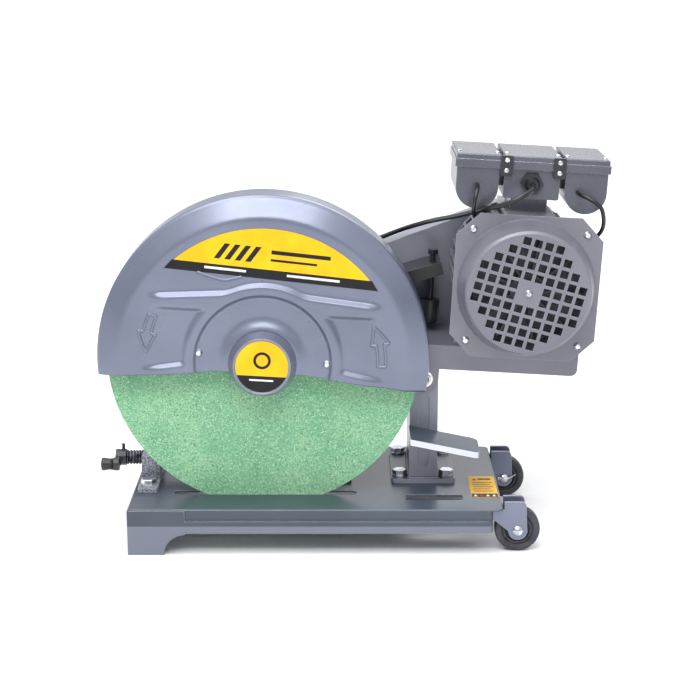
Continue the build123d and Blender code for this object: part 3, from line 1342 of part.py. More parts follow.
GLAND_END_Y = BOX_FRONT_Y - 17
HANDLE_Y = 20.0
HANDLE_TURN = 150.0      # the handle leaves the spindle housing this way, up and to the left
HANDLE_LEN = 168.0
TUBE_R, TUBE_BORE_R = 11.0, 8.5
GRIP_START, GRIP_R = 64.0, 15.5
SWITCH_START, SWITCH_L, SWITCH_H, SWITCH_D = 36.0, 27.0, 40.0, 30.0


def along_handle(r, side_off=0.0):
    """Point r along the handle and side_off square to it, as u, v of the head."""
    a = radians(HANDLE_TURN)
    return (
        -SPINDLE_REACH + r * cos(a) - side_off * sin(a),
        SPINDLE_RISE + r * sin(a) + side_off * cos(a),
    )


def on_handle(y, r=0.0):
    """Sketch plane at depth y whose x runs out along the handle from the point r."""
    u, v = along_handle(r)
    x, z = along_head(u, v)
    lean = TILT - radians(HANDLE_TURN)
    return Plane(origin=(x, y, z), x_dir=(cos(lean), 0, -sin(lean)), z_dir=(0, -1, 0))


def across_handle(r):
    """Sketch plane square to the handle at r, facing outwards along it."""
    u, v = along_handle(r)
    x, z = along_head(u, v)
    lean = TILT - radians(HANDLE_TURN)
    return Plane(origin=(x, HANDLE_Y, z), x_dir=(0, 1, 0), z_dir=(cos(lean), 0, -sin(lean)))


switch_u, switch_v = along_handle(SWITCH_START + SWITCH_L / 2)
switch_cable = cord(
    [
        route_point(MOTOR_REACH, GLAND_END_Y, GLAND_V),
        route_point(MOTOR_REACH, GLAND_END_Y - 14, GLAND_V),
        route_point(MOTOR_REACH - 6, GLAND_END_Y - 27, GLAND_V - 4),
        route_point(MOTOR_REACH - 19, GLAND_END_Y - 34, GLAND_V - 11),
        route_point(80, -106, 247),
        route_point(62, -92, 240),
        route_point(46, -61, 229),
        route_point(28, -14, 214),
        route_point(8, 36, 200),
        route_point(-6, 72, 189),
        route_point(-34, 98, 174),
        route_point(-80, 106, 151),
        route_point(-128, 103, 129),
        route_point(-172, 93, 108),
        route_point(-209, 80, 87),
        route_point(-231, 73, 73),
        route_point(-246, 65, 61),
        route_point(switch_u, HANDLE_Y + SWITCH_D / 2 + 16, switch_v),
        route_point(switch_u, HANDLE_Y + SWITCH_D / 2, switch_v),
    ],
    CORD_R,
    "switch_cable",
)
LEAD_V = POD_BOTTOM + 30


def lead_end(turn, radius):
    """Point at a lead's boss, the radius out from the motor's axis."""
    a = radians(turn)
    return route_point(MOTOR_REACH + radius * cos(a), LEAD_END_Y, MOTOR_RISE + radius * sin(a))


lead_left = cord(
    [
        route_point(POD_US[0], POD_FRONT_Y, LEAD_V),
        route_point(POD_US[0], POD_FRONT_Y - 15, LEAD_V),
        route_point(POD_US[0] - 3, POD_FRONT_Y - 25, LEAD_V - 11),
        route_point(POD_US[0] - 5, POD_FRONT_Y - 24, LEAD_V - 27),
        lead_end(LEAD_TURNS[0], LEAD_SEAT_R + 14),
        lead_end(LEAD_TURNS[0], LEAD_SEAT_R),
    ],
    LEAD_R,
    "lead_left",
)
lead_right = cord(
    [
        route_point(POD_US[1] - 10, POD_FRONT_Y, LEAD_V - 3),
        route_point(POD_US[1] - 10, POD_FRONT_Y - 15, LEAD_V - 3),
        route_point(POD_US[1], POD_FRONT_Y - 27, LEAD_V - 5),
        route_point(POD_US[1] + 16, POD_FRONT_Y - 30, LEAD_V - 13),
        route_point(POD_US[1] + 22, POD_FRONT_Y - 25, LEAD_V - 29),
        route_point(POD_US[1] + 23, POD_FRONT_Y - 19, LEAD_V - 44),
        lead_end(LEAD_TURNS[1], LEAD_SEAT_R + 14),
        lead_end(LEAD_TURNS[1], LEAD_SEAT_R),
    ],
    LEAD_R,
    "lead_right",
)

# ==== handle and switch, on the spindle housing behind the guard ====
TRIGGER_L, TRIGGER_W, TRIGGER_T = 44.0, 14.0, 5.0
TRIGGER_LEAN = 12.0
TRIGGER_EYE_R, TRIGGER_PIN_R = 4.0, 1.5
TRIGGER_PIN_AT = SWITCH_START + SWITCH_L + TRIGGER_EYE_R
TRIGGER_PIN_OFF = 22.5   # from the handle's axis, on the lower side
TRIGGER_EAR_T = 3.0
TRIGGER_EAR_OUT = TRIGGER_W / 2 + 1 + TRIGGER_EAR_T
with BuildPart() as handle_tube:
    with BuildSketch(across_handle(HOUSING_R - 2)):
        Circle(TUBE_R)
        Circle(TUBE_BORE_R, mode=Mode.SUBTRACT)
    extrude(amount=HANDLE_LEN - HOUSING_R + 2)
    with BuildSketch(at_spindle(HANDLE_Y - TUBE_R)):
        Circle(HOUSING_R)
    extrude(amount=-2 * TUBE_R, mode=Mode.SUBTRACT)

with BuildPart() as switch_body:
    with BuildSketch(across_handle(SWITCH_START)):
        with Locations((0, 0)):
            RectangleRounded(SWITCH_D, SWITCH_H, 4)
        Circle(TUBE_R, mode=Mode.SUBTRACT)
    extrude(amount=SWITCH_L)
    # two ears and the pin that the trigger swings on
    for ear_y in (HANDLE_Y - TRIGGER_EAR_OUT, HANDLE_Y + TRIGGER_EAR_OUT - TRIGGER_EAR_T):
        with BuildSketch(on_handle(ear_y, TRIGGER_PIN_AT)):
            with Locations((-1, TRIGGER_PIN_OFF - 2)):
                Rectangle(10, 13)
        extrude(amount=-TRIGGER_EAR_T)
    with BuildSketch(on_handle(HANDLE_Y - TRIGGER_EAR_OUT, TRIGGER_PIN_AT)):
        with Locations((0, TRIGGER_PIN_OFF)):
            Circle(TRIGGER_PIN_R)
    extrude(amount=-2 * TRIGGER_EAR_OUT)

with BuildPart() as handle_grip:
    with BuildSketch(across_handle(GRIP_START)):
        Circle(GRIP_R)
        Circle(TUBE_R, mode=Mode.SUBTRACT)
    extrude(amount=HANDLE_LEN - GRIP_START)
    with BuildSketch(across_handle(HANDLE_LEN)):
        Circle(GRIP_R)
    extrude(amount=4)
    fillet(handle_grip.edges().filter_by(GeomType.CIRCLE).sort_by(Axis.X)[0], radius=3)

# trigger, hinged on the switch body beside the grip
with BuildPart() as switch_trigger:
    with BuildSketch(on_handle(HANDLE_Y - TRIGGER_W / 2, TRIGGER_PIN_AT)):
        with BuildLine():
            lift = TRIGGER_L * sin(radians(TRIGGER_LEAN))
            Polyline(
                (2.5, TRIGGER_PIN_OFF - 3),
                (TRIGGER_L, TRIGGER_PIN_OFF - 3 + lift),
                (TRIGGER_L, TRIGGER_PIN_OFF - 3 + lift + TRIGGER_T),
                (1, TRIGGER_PIN_OFF - 1 + TRIGGER_T),
                close=True,
            )
        make_face()
        with Locations((0, TRIGGER_PIN_OFF)):
            Circle(TRIGGER_EYE_R)
            Circle(TRIGGER_PIN_R + FIT, mode=Mode.SUBTRACT)
    extrude(amount=-TRIGGER_W)

# ==== belt tension adjuster ====
def on_belt(y):
    """Sketch plane at depth y, centred on the spindle, whose x runs towards the motor's shaft."""
    lean = TILT - radians(BELT_LEAN)
    return Plane(origin=(SPINDLE_X, y, SPINDLE_Z), x_dir=(cos(lean), 0, -sin(lean)), z_dir=(0, -1, 0))


ANGLE_FROM, ANGLE_TO = 150.0, 249.0
ANGLE_TOP, ANGLE_H, ANGLE_T = 35.0, 17.0, 3.0
ANGLE_FRONT_Y = 34.0
KNOB_U, KNOB_Y = 5.0, 56.0
KNOB_LOW, KNOB_HIGH, TENSION_KNOB_R = 54.0, 88.0, 13.0
STUD_R = 4.0


def on_knob(v):
    """Sketch plane square to the adjuster's stud, v above the pivot line."""
    x, z = along_head(KNOB_U, v)
    return Plane(origin=(x, KNOB_Y, z), x_dir=(0, 1, 0), z_dir=(sin(TILT), 0, cos(TILT)))


with BuildPart() as tension_bracket:
    with BuildSketch(on_belt(ANGLE_FRONT_Y)):
        with Locations(((ANGLE_FROM + ANGLE_TO) / 2, ANGLE_TOP - ANGLE_T / 2)):
            Rectangle(ANGLE_TO - ANGLE_FROM, ANGLE_T)
    extrude(amount=-(BELT_PLATE_Y - ANGLE_FRONT_Y))
    with BuildSketch(on_belt(ANGLE_FRONT_Y)):
        with Locations(((ANGLE_FROM + ANGLE_TO) / 2, ANGLE_TOP - ANGLE_H / 2)):
            Rectangle(ANGLE_TO - ANGLE_FROM, ANGLE_H)
    extrude(amount=-ANGLE_T)
    with BuildSketch(on_knob(KNOB_HIGH + 20)):
        Circle(STUD_R + FIT)
    extrude(amount=80, mode=Mode.SUBTRACT)

with BuildPart() as tension_knob:
    with BuildSketch(on_knob(KNOB_LOW)):
        Circle(TENSION_KNOB_R)
    extrude(amount=KNOB_HIGH - KNOB_LOW)
    fillet(tension_knob.edges().sort_by(Axis.Z)[0], radius=9)
    with BuildSketch(on_knob(KNOB_HIGH)):
        Circle(STUD_R)
    extrude(amount=62)
    with BuildSketch(on_knob(KNOB_HIGH + 62)):
        RegularPolygon(M8_FLATS / 2, 6, major_radius=False)
    extrude(amount=6)

# ==== write the pieces ====
PIECES = {
    "base_tray": base_tray,
    "post_bracket": post_bracket,
    "base_bolts": base_bolts,
    "base_washers": base_washers,
    "base_nuts": base_nuts,
    "pivot_shaft": pivot_shaft,
    "spark_deflector": spark_deflector,
    "caution_label": caution_label,
    "fixed_fence": fixed_fence,
    "vise_bracket": vise_bracket,
    "moving_jaw": moving_jaw,
    "vise_screw": vise_screw,
    "vise_handle": vise_handle,
    "vise_knob": vise_knob,
    "caster_brackets": caster_brackets,
    "caster_bolts": caster_bolts,
    "caster_hub_front": caster_hub_front,
    "caster_hub_rear": caster_hub_rear,
    "caster_tyre_front": caster_tyre_front,
    "caster_tyre_rear": caster_tyre_rear,
    "arm_channel": arm_channel,
    "pivot_bushes": pivot_bushes,
    "spindle_housing": spindle_housing,
    "head_bolts": head_bolts,
    "ball_bearings": ball_bearings,
    "guard_front": guard_front,
    "guard_back": guard_back,
    "guard_screws": guard_screws,
    "hub_cap": hub_cap,
    "guard_labels": guard_labels,
    "clamp_flanges": clamp_flanges,
    "abrasive_disc": abrasive_disc,
    "spindle": spindle,
    "spindle_nut": spindle_nut,
    "spindle_pulley": spindle_pulley,
    "motor_pulley": motor_pulley,
    "drive_belt": drive_belt,
    "belt_cover_plate": belt_cover_plate,
    "belt_cover": belt_cover,
    "motor_housing": motor_housing,
    "end_shields": end_shields,
    "stator_core": stator_core,
    "rotor": rotor,
    "cooling_fan": cooling_fan,
    "fan_cover": fan_cover,
    "cover_screws": cover_screws,
    "terminal_box": terminal_box,
    "capacitor_pods": capacitor_pods,
    "capacitors": capacitors,
    "box_lids": box_lids,
    "cable_gland": cable_gland,
    "switch_cable": switch_cable,
    "lead_left": lead_left,
    "lead_right": lead_right,
    "handle_tube": handle_tube,
    "handle_grip": handle_grip,
    "switch_body": switch_body,
    "switch_trigger": switch_trigger,
    "tension_bracket": tension_bracket,
    "tension_knob": tension_knob,
}
for name, piece in PIECES.items():
    piece.part.label = name
    export_step(piece.part, f"parts/{name}.step")
print(len(PIECES), "nodes")
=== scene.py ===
"""Looks of an abrasive chop saw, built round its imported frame.

Places are in metres. Most sizes are named in millimetres, and take MM where they are used."""

import json
from math import asin, cos, hypot, pi, radians, sin, sqrt

import bpy
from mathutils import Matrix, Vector


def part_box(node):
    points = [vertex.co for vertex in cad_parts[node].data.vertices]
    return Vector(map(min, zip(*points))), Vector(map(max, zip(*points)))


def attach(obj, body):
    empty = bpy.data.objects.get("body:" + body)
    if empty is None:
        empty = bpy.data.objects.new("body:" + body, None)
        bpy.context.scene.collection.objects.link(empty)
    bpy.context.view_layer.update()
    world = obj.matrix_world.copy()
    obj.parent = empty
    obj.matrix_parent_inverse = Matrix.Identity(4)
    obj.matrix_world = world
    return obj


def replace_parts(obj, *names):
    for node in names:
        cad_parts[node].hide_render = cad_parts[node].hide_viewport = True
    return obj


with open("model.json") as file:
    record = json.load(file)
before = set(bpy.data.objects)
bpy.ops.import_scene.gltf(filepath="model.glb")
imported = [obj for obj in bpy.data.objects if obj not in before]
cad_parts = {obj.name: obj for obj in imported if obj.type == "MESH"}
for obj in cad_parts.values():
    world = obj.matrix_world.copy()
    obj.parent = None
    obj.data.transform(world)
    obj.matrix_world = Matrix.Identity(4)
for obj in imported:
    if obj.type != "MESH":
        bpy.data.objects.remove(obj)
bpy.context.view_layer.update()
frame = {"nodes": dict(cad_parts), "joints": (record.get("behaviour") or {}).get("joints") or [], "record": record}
NODES = frame["nodes"]
JOINTS = {joint["name"]: joint for joint in frame["joints"]}
MM = 0.001

# the head leans: its own up is the tensioner's stud
HEAD_UP = Vector(JOINTS["tension_knob_turn"]["axis"]).normalized()
HEAD_RIGHT = Vector((HEAD_UP.z, 0, -HEAD_UP.x))
PIVOT = Vector(JOINTS["head_pivot"]["pos_m"])
SPINDLE = Vector(JOINTS["spindle_spin"]["pos_m"])
MOTOR = Vector(JOINTS["motor_spin"]["pos_m"])
FRONT = Vector((0, -1, 0))


def on_head(centre, right, depth, up):
    """Point right and up from a centre in the head's own lean, at a depth, in millimetres."""
    place = centre + HEAD_RIGHT * (right * MM) + HEAD_UP * (up * MM)
    return Vector((place.x, depth * MM, place.z))


# ---------------------------------------------------------------- camera and light
def add(material, kind, settings=None, links=None):
    """Adds a node: settings name properties or inputs, links name inputs and what feeds them."""
    node = material.node_tree.nodes.new(kind)
    for key, value in (settings or {}).items():
        if isinstance(key, str) and hasattr(node, key):
            setattr(node, key, value)
        else:
            node.inputs[key].default_value = value
    for key, source in (links or {}).items():
        socket = source if isinstance(source, bpy.types.NodeSocket) else source.outputs[0]
        material.node_tree.links.new(node.inputs[key], socket)
    return node


EYE = Vector((0.0, -2.13, 0.79))
PITCH = 14.6
LENS = 86.0


def camera():
    """Long lens a little above the saw, square to the wheel."""
    eye = bpy.data.objects.new("camera", bpy.data.cameras.new("camera"))
    eye.data.lens = LENS
    eye.location = EYE
    eye.rotation_euler = (radians(90 - PITCH), 0, 0)
    bpy.context.scene.collection.objects.link(eye)
    bpy.context.scene.camera = eye


def soft_box(name, place, target, width, height, power):
    """Studio panel that faces a point."""
    lamp = bpy.data.lights.new(name, "AREA")
    lamp.shape = "RECTANGLE"
    lamp.size, lamp.size_y = width, height
    lamp.energy = power
    panel = bpy.data.objects.new(name, lamp)
    panel.location = place
    facing = Vector(target) - Vector(place)
    panel.rotation_euler = facing.to_track_quat("-Z", "Y").to_euler()
    bpy.context.scene.collection.objects.link(panel)


def studio():
    """Room bright overhead and dim at the sides, with a wide soft key from the upper left."""
    world = bpy.data.worlds.new("studio")
    bpy.context.scene.world = world
    world.use_nodes = True
    place = add(world, "ShaderNodeTexCoord").outputs["Generated"]
    height = add(world, "ShaderNodeSeparateXYZ", links={"Vector": place}).outputs["Z"]
    sky = add(world, "ShaderNodeValToRGB", links={"Fac": height})
    low, high = sky.color_ramp.elements
    low.position, low.color = 0.05, (0.44, 0.45, 0.48, 1)
    high.position, high.color = 0.75, (1.0, 1.0, 1.0, 1)
    glow = world.node_tree.nodes["Background"]
    glow.inputs["Strength"].default_value = 1.25
    world.node_tree.links.new(glow.inputs["Color"], sky.outputs["Color"])
    bpy.context.scene.view_settings.view_transform = "Standard"
    sun = bpy.data.lights.new("key", "SUN")
    sun.energy = 1.0
    sun.angle = radians(35)
    key = bpy.data.objects.new("key", sun)
    key.rotation_euler = Vector((0.35, 0.45, -1.0)).to_track_quat("-Z", "Y").to_euler()
    bpy.context.scene.collection.objects.link(key)
    middle = (0, 0, 0.25)
    guard_top = (-0.09, -0.09, 0.42)
    soft_box("top_panel", (-0.1, -0.2, 1.7), middle, width=1.4, height=0.7, power=9)
    soft_box("rim_panel", (-0.1, -1.55, 1.72), guard_top, width=1.3, height=0.4, power=13)
    soft_box("back_panel", (0.6, 2.0, 1.5), middle, width=1.2, height=0.8, power=8)


camera()
studio()


# ---------------------------------------------------------------- materials
def linear(code):
    """sRGB hex to the linear colour that shaders take."""
    parts = [int(code[i:i + 2], 16) / 255 for i in (1, 3, 5)]
    colour = [c / 12.92 if c <= 0.04045 else ((c + 0.055) / 1.055) ** 2.4 for c in parts]
    return (*colour, 1)


def per(size):
    """Texture scale that repeats about every so many millimetres."""
    return 1 / (size * MM)


def blank(name):
    """Material with only its output, and the object's own coordinates."""
    material = bpy.data.materials.new(name)
    material.use_nodes = True
    material.node_tree.nodes.clear()
    place = add(material, "ShaderNodeTexCoord").outputs["Object"]
    return material, place


def close(material, shader):
    """The material, with its shader joined to the output."""
    add(material, "ShaderNodeOutputMaterial", links={"Surface": shader})
    return material


# rays that each material takes to round its edges
EDGE_RAYS = 4


def edges(material, normal):
    """Mask of where the rounded normal leaves the flat one."""
    flat = add(material, "ShaderNodeNewGeometry").outputs["Normal"]
    likeness = add(material, "ShaderNodeVectorMath", {"operation": "DOT_PRODUCT"},
                   {0: normal, 1: flat})
    return add(material, "ShaderNodeMapRange",
               {"From Min": 0.985, "From Max": 0.8, "To Min": 0, "To Max": 1},
               {"Value": likeness.outputs["Value"]})


def two_tone(material, place, dark, light, size, detail=3.0, low=0.4, high=0.6):
    """Colour that drifts between two tones over patches of that size."""
    patches = add(material, "ShaderNodeTexNoise", {"Scale": per(size), "Detail": detail},
                  {"Vector": place})
    ramp = add(material, "ShaderNodeValToRGB", links={"Fac": patches})
    first, last = ramp.color_ramp.elements
    first.position, first.color = low, linear(dark)
    last.position, last.color = high, linear(light)
    return ramp


def enamel(name, dark, light, bare_and_edge_highlight, rough, metallic=0.0, coat=0.25, peel=0.12, front=None,
           low=None):
    """Sprayed enamel: slight orange peel, tone drift, and brighter edges, partly rubbed paint and partly a painted
    edge highlight.

    front is a lighter tone given to what faces front, as painted light on those faces; low is a height in metres
    and the lighter tone under it, as painted light on the sides."""
    material, place = blank(name)
    normal = add(material, "ShaderNodeBevel", {"samples": EDGE_RAYS, "Radius": 0.8 * MM})
    edge = edges(material, normal)
    tone = two_tone(material, place, dark, light, 110, low=0.3, high=0.7)
    scuff = add(material, "ShaderNodeTexNoise", {"Scale": per(9), "Detail": 6.0},
                {"Vector": place})
    # faces that point to the front blend to a lighter tone: painted light
    if front:
        facing = add(material, "ShaderNodeVectorMath", {"operation": "DOT_PRODUCT", 1: (0, -1, 0)},
                     {0: add(material, "ShaderNodeNewGeometry").outputs["Normal"]})
        share = add(material, "ShaderNodeMapRange", {"From Min": 0.55, "From Max": 0.75},
                    {"Value": facing.outputs["Value"]})
        tone = add(material, "ShaderNodeMixRGB", {"Color2": linear(front)},
                   {"Fac": share, "Color1": tone})
    # faces under the border height blend to a lighter tone: painted light on the sides
    if low:
        border, painted_side_light = low
        blend = 0.5 * MM
        height = add(material, "ShaderNodeSeparateXYZ", links={"Vector": place}).outputs["Z"]
        under = add(material, "ShaderNodeMapRange",
                    {"From Min": border + blend, "From Max": border - blend}, {"Value": height})
        tone = add(material, "ShaderNodeMixRGB", {"Color2": linear(painted_side_light)},
                   {"Fac": under, "Color1": tone})
    # edges blend to the bright edge tone: partly rubbed paint, partly a painted edge highlight
    rub = add(material, "ShaderNodeMath", {"operation": "ADD", 1: 0.35}, {0: scuff})
    worn_and_highlit = add(material, "ShaderNodeMath", {"operation": "MULTIPLY", "use_clamp": True},
               {0: edge, 1: rub})
    colour = add(material, "ShaderNodeMixRGB", {"Color2": linear(bare_and_edge_highlight)},
                 {"Fac": worn_and_highlit, "Color1": tone})
    # orange peel is about 0.8 mm across; drawn at 2.5 mm so that it still shows
    skin = add(material, "ShaderNodeTexNoise", {"Scale": per(2.5), "Detail": 2.0},
               {"Vector": place})
    bump = add(material, "ShaderNodeBump", {"Strength": peel, "Distance": 0.2 * MM},
               {"Height": skin, "Normal": normal})
    gloss = add(material, "ShaderNodeMapRange", {"To Min": rough - 0.03, "To Max": rough + 0.05},
                {"Value": scuff})
    shader = add(material, "ShaderNodeBsdfPrincipled",
                 {"Metallic": metallic, "Coat Weight": coat, "Coat Roughness": 0.25},
                 {"Base Color": colour, "Roughness": gloss, "Normal": bump})
    return close(material, shader)


def plated(name, dark, light, rough, grain=1.2):
    """Zinc-plated or turned steel: metal with faint cloudy tone and fine tool marks."""
    material, place = blank(name)
    normal = add(material, "ShaderNodeBevel", {"samples": EDGE_RAYS, "Radius": 0.4 * MM})
    tone = two_tone(material, place, dark, light, 7)
    marks = add(material, "ShaderNodeTexNoise", {"Scale": per(grain), "Detail": 4.0},
                {"Vector": place})
    bump = add(material, "ShaderNodeBump", {"Strength": 0.15, "Distance": 0.1 * MM},
               {"Height": marks, "Normal": normal})
    gloss = add(material, "ShaderNodeMapRange", {"To Min": rough - 0.08, "To Max": rough + 0.12},
                {"Value": marks})
    shader = add(material, "ShaderNodeBsdfPrincipled", {"Metallic": 1.0},
                 {"Base Color": tone, "Roughness": gloss, "Normal": bump})
    return close(material, shader)


def cast(name, dark, light, sparkle):
    """Sand casting under thin paint: coarse grains that catch the light."""
    material, place = blank(name)
    normal = add(material, "ShaderNodeBevel", {"samples": EDGE_RAYS, "Radius": 1.2 * MM})
    grains = add(material, "ShaderNodeTexVoronoi", {"Scale": per(1.3)}, {"Vector": place})
    bright = add(material, "ShaderNodeValToRGB", links={"Fac": grains.outputs["Color"]})
    first, last = bright.color_ramp.elements
    first.position, first.color = 0.35, linear(dark)
    last.position, last.color = 0.85, linear(light)
    rough_skin = add(material, "ShaderNodeTexNoise", {"Scale": per(1.6), "Detail": 5.0},
                     {"Vector": place})
    bump = add(material, "ShaderNodeBump", {"Strength": 0.7, "Distance": 0.6 * MM},
               {"Height": rough_skin, "Normal": normal})
    shader = add(material, "ShaderNodeBsdfPrincipled", {"Metallic": sparkle, "Roughness": 0.5},
                 {"Base Color": bright, "Normal": bump})
    return close(material, shader)


def moulded(name, dark, light, rough, grain=0.9, strength=0.15, coat=0.0):
    """Moulded nylon, rubber or cord jacket: even colour with a fine satin grain."""
    material, place = blank(name)
    normal = add(material, "ShaderNodeBevel", {"samples": EDGE_RAYS, "Radius": 0.5 * MM})
    tone = two_tone(material, place, dark, light, 14)
    skin = add(material, "ShaderNodeTexNoise", {"Scale": per(grain), "Detail": 3.0},
               {"Vector": place})
    bump = add(material, "ShaderNodeBump", {"Strength": strength, "Distance": 0.2 * MM},
               {"Height": skin, "Normal": normal})
    gloss = add(material, "ShaderNodeMapRange", {"To Min": rough - 0.08, "To Max": rough + 0.08},
                {"Value": skin})
    shader = add(material, "ShaderNodeBsdfPrincipled",
                 {"Coat Weight": coat, "Coat Roughness": 0.15},
                 {"Base Color": tone, "Roughness": gloss, "Normal": bump})
    return close(material, shader)


def vinyl(name, colour, shade):
    """Printed vinyl sticker: smooth and slightly glossy, with faint handling marks."""
    material, place = blank(name)
    tone = two_tone(material, place, shade, colour, 30)
    marks = add(material, "ShaderNodeTexNoise", {"Scale": per(4), "Detail": 4.0},
                {"Vector": place})
    bump = add(material, "ShaderNodeBump", {"Strength": 0.05, "Distance": 0.1 * MM},
               {"Height": marks})
    gloss = add(material, "ShaderNodeMapRange", {"To Min": 0.42, "To Max": 0.55}, {"Value": marks})
    shader = add(material, "ShaderNodeBsdfPrincipled", {"Specular IOR Level": 0.3},
                 {"Base Color": tone, "Roughness": gloss, "Normal": bump})
    return close(material, shader)


def grit():
    """Resin-bonded green grit over glass mesh: pale and dark grains, drawn a little coarse."""
    material, place = blank("resin_bonded_grit")
    drift = two_tone(material, place, "#76B087", "#8CBD92", 45)
    grains = add(material, "ShaderNodeTexVoronoi", {"Scale": per(1.35)}, {"Vector": place})
    chance = add(material, "ShaderNodeSeparateColor", links={"Color": grains.outputs["Color"]})
    pale = add(material, "ShaderNodeMath", {"operation": "GREATER_THAN", 1: 0.80},
               {0: chance.outputs["Red"]})
    dim = add(material, "ShaderNodeMath", {"operation": "LESS_THAN", 1: 0.28},
              {0: chance.outputs["Green"]})
    lit = add(material, "ShaderNodeMixRGB", {"Color2": linear("#A0CBA6")},
              {"Fac": pale, "Color1": drift})
    dark = add(material, "ShaderNodeMixRGB", {"Color2": linear("#66977A")},
               {"Fac": dim, "Color1": lit})
    # the glass mesh shows through as faint, wide bands both ways, about 31 mm apart
    weave = add(material, "ShaderNodeTexWave", {"Scale": per(100), "bands_direction": "X"},
                {"Vector": place})
    weft = add(material, "ShaderNodeTexWave", {"Scale": per(100), "bands_direction": "Z"},
               {"Vector": place})
    mesh = add(material, "ShaderNodeMath", {"operation": "ADD"}, {0: weave, 1: weft})
    coarse = add(material, "ShaderNodeTexNoise", {"Scale": per(1.4), "Detail": 4.0},
                 {"Vector": place})
    height = add(material, "ShaderNodeMath", {"operation": "MULTIPLY_ADD", 1: 0.12},
                 {0: mesh, 2: coarse})
    bump = add(material, "ShaderNodeBump", {"Strength": 0.6, "Distance": 0.5 * MM},
               {"Height": height})
    shader = add(material, "ShaderNodeBsdfPrincipled", {"Roughness": 0.86},
                 {"Base Color": dark, "Normal": bump})
    return close(material, shader)


def floor_paper():
    """Pale matt studio paper."""
    material, place = blank("studio_paper")
    tone = two_tone(material, place, "#F1F1F2", "#F6F6F7", 400)
    shader = add(material, "ShaderNodeBsdfPrincipled", {"Roughness": 0.9}, {"Base Color": tone})
    return close(material, shader)


# the tray's sides take a lighter tone than its top from this height down, as painted light
TRAY_SIDE_TOP = 0.0385

# each enamel's third colour is its bright edge tone, partly rubbed paint and partly a painted edge highlight
ENAMEL_TRAY = enamel("tray_enamel_blue_grey", "#343D49", "#3F4957", "#C3CAD6", rough=0.3,
                     low=(TRAY_SIDE_TOP, "#686D7D"))
# the front tones of the post and deflector are painted light; the deflector's near-white front is a painted
# highlight
ENAMEL_POST = enamel("post_enamel_grey", "#4A4E59", "#565A66", "#C0C3CC", rough=0.34,
                     front="#868996")
ENAMEL_DEFLECTOR = enamel("deflector_enamel_blue_grey", "#454F5F", "#515C6D", "#E2E4EC",
                          rough=0.32, front="#CDD0DA")
ENAMEL_GUARD = enamel("guard_enamel_metallic_grey", "#686E80", "#757B8E", "#C6C9D6",
                      rough=0.28, metallic=0.55, coat=0.4, peel=0.04)
ENAMEL_MOTOR = enamel("motor_enamel_grey", "#6C6C77", "#7A7A85", "#B9BAC6", rough=0.38,
                      metallic=0.3)
ENAMEL_BOX = enamel("box_enamel_dark_grey", "#4E505A", "#5C5F6A", "#B9C0D0", rough=0.26,
                    metallic=0.35, peel=0.05)
ENAMEL_COVER = enamel("belt_cover_enamel", "#767883", "#878995", "#C9CBD6", rough=0.38,
                      metallic=0.15)
ENAMEL_BLACK = enamel("black_enamel", "#16171B", "#222329", "#5B5D66", rough=0.34)
HUB_ENAMEL = enamel("hub_enamel_grey", "#6E7284", "#7D8194", "#D2D5E0", rough=0.28,
                    metallic=0.5, coat=0.4, peel=0.04)
ZINC = plated("zinc_plate", "#B5B8C0", "#DDE0E6", 0.26)
GROUND = plated("ground_steel", "#A9ABB0", "#C9CBD0", 0.22)
SCREW = plated("oiled_turned_steel", "#2E2E34", "#6A6A72", 0.3)
BRONZE = plated("tinned_bronze", "#C9C5BA", "#E4E0D6", 0.28)
LAMINATIONS = plated("varnished_laminations", "#3B3634", "#57504C", 0.45)
ALLOY = plated("drawn_aluminium", "#B4B5BA", "#D0D1D5", 0.32)
IRON = cast("sand_cast_iron", "#62646E", "#BBBDC7", 0.45)
NYLON = moulded("black_moulded_nylon", "#141519", "#1F2126", 0.4, coat=0.2)
RUBBER = moulded("black_rubber", "#131317", "#1C1D21", 0.6, grain=0.7, strength=0.3)
TYRE = moulded("solid_rubber_tyre", "#2B2B33", "#3A3A44", 0.55, grain=1.0, strength=0.25)
CASTER_NYLON = moulded("caster_nylon", "#26272D", "#34353D", 0.5)
JACKET = moulded("glossy_cord_jacket", "#08090B", "#101115", 0.33, grain=1.4, strength=0.06,
                 coat=0.2)
FAN_NYLON = moulded("fan_nylon", "#3A3B42", "#4A4B53", 0.5)
YELLOW = vinyl("yellow_vinyl", "#EFBB0B", "#E6AF06")
BLACK_PRINT = vinyl("black_print", "#17171A", "#101013")
WHITE_PRINT = vinyl("white_print", "#E4E4E0", "#D2D2CE")
RED_PRINT = vinyl("red_print", "#B5242C", "#99202A")
GRIT = grit()

FINISH = {
    "tray_enamel": ENAMEL_TRAY,
    "post_enamel": ENAMEL_POST,
    "deflector_enamel": ENAMEL_DEFLECTOR,
    "guard_enamel": ENAMEL_GUARD,
    "motor_enamel": ENAMEL_MOTOR,
    "motor_alloy": ENAMEL_MOTOR,
    "box_enamel": ENAMEL_BOX,
    "cover_enamel": ENAMEL_COVER,
    "hub_paint": HUB_ENAMEL,
    "cast_iron": IRON,
    "zinc": ZINC,
    "dark_steel": SCREW,
    "black_steel": ENAMEL_BLACK,
    "bright_steel": GROUND,
    "bronze": BRONZE,
    "abrasive": GRIT,
    "label_yellow": YELLOW,
    "black_plastic": NYLON,
    "black_rubber": RUBBER,
    "cord_jacket": JACKET,
    "caster_tyre": TYRE,
    "caster_hub": CASTER_NYLON,
    "fan_plastic": FAN_NYLON,
    "laminations": LAMINATIONS,
    "can_alloy": ALLOY,
}


def finish_nodes():
    """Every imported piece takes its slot's finish."""
    for row in frame["record"]["subparts"]:
        mesh = NODES[row["node"]].data
        mesh.materials.clear()
        mesh.materials.append(FINISH[row["material_slot"]])


finish_nodes()


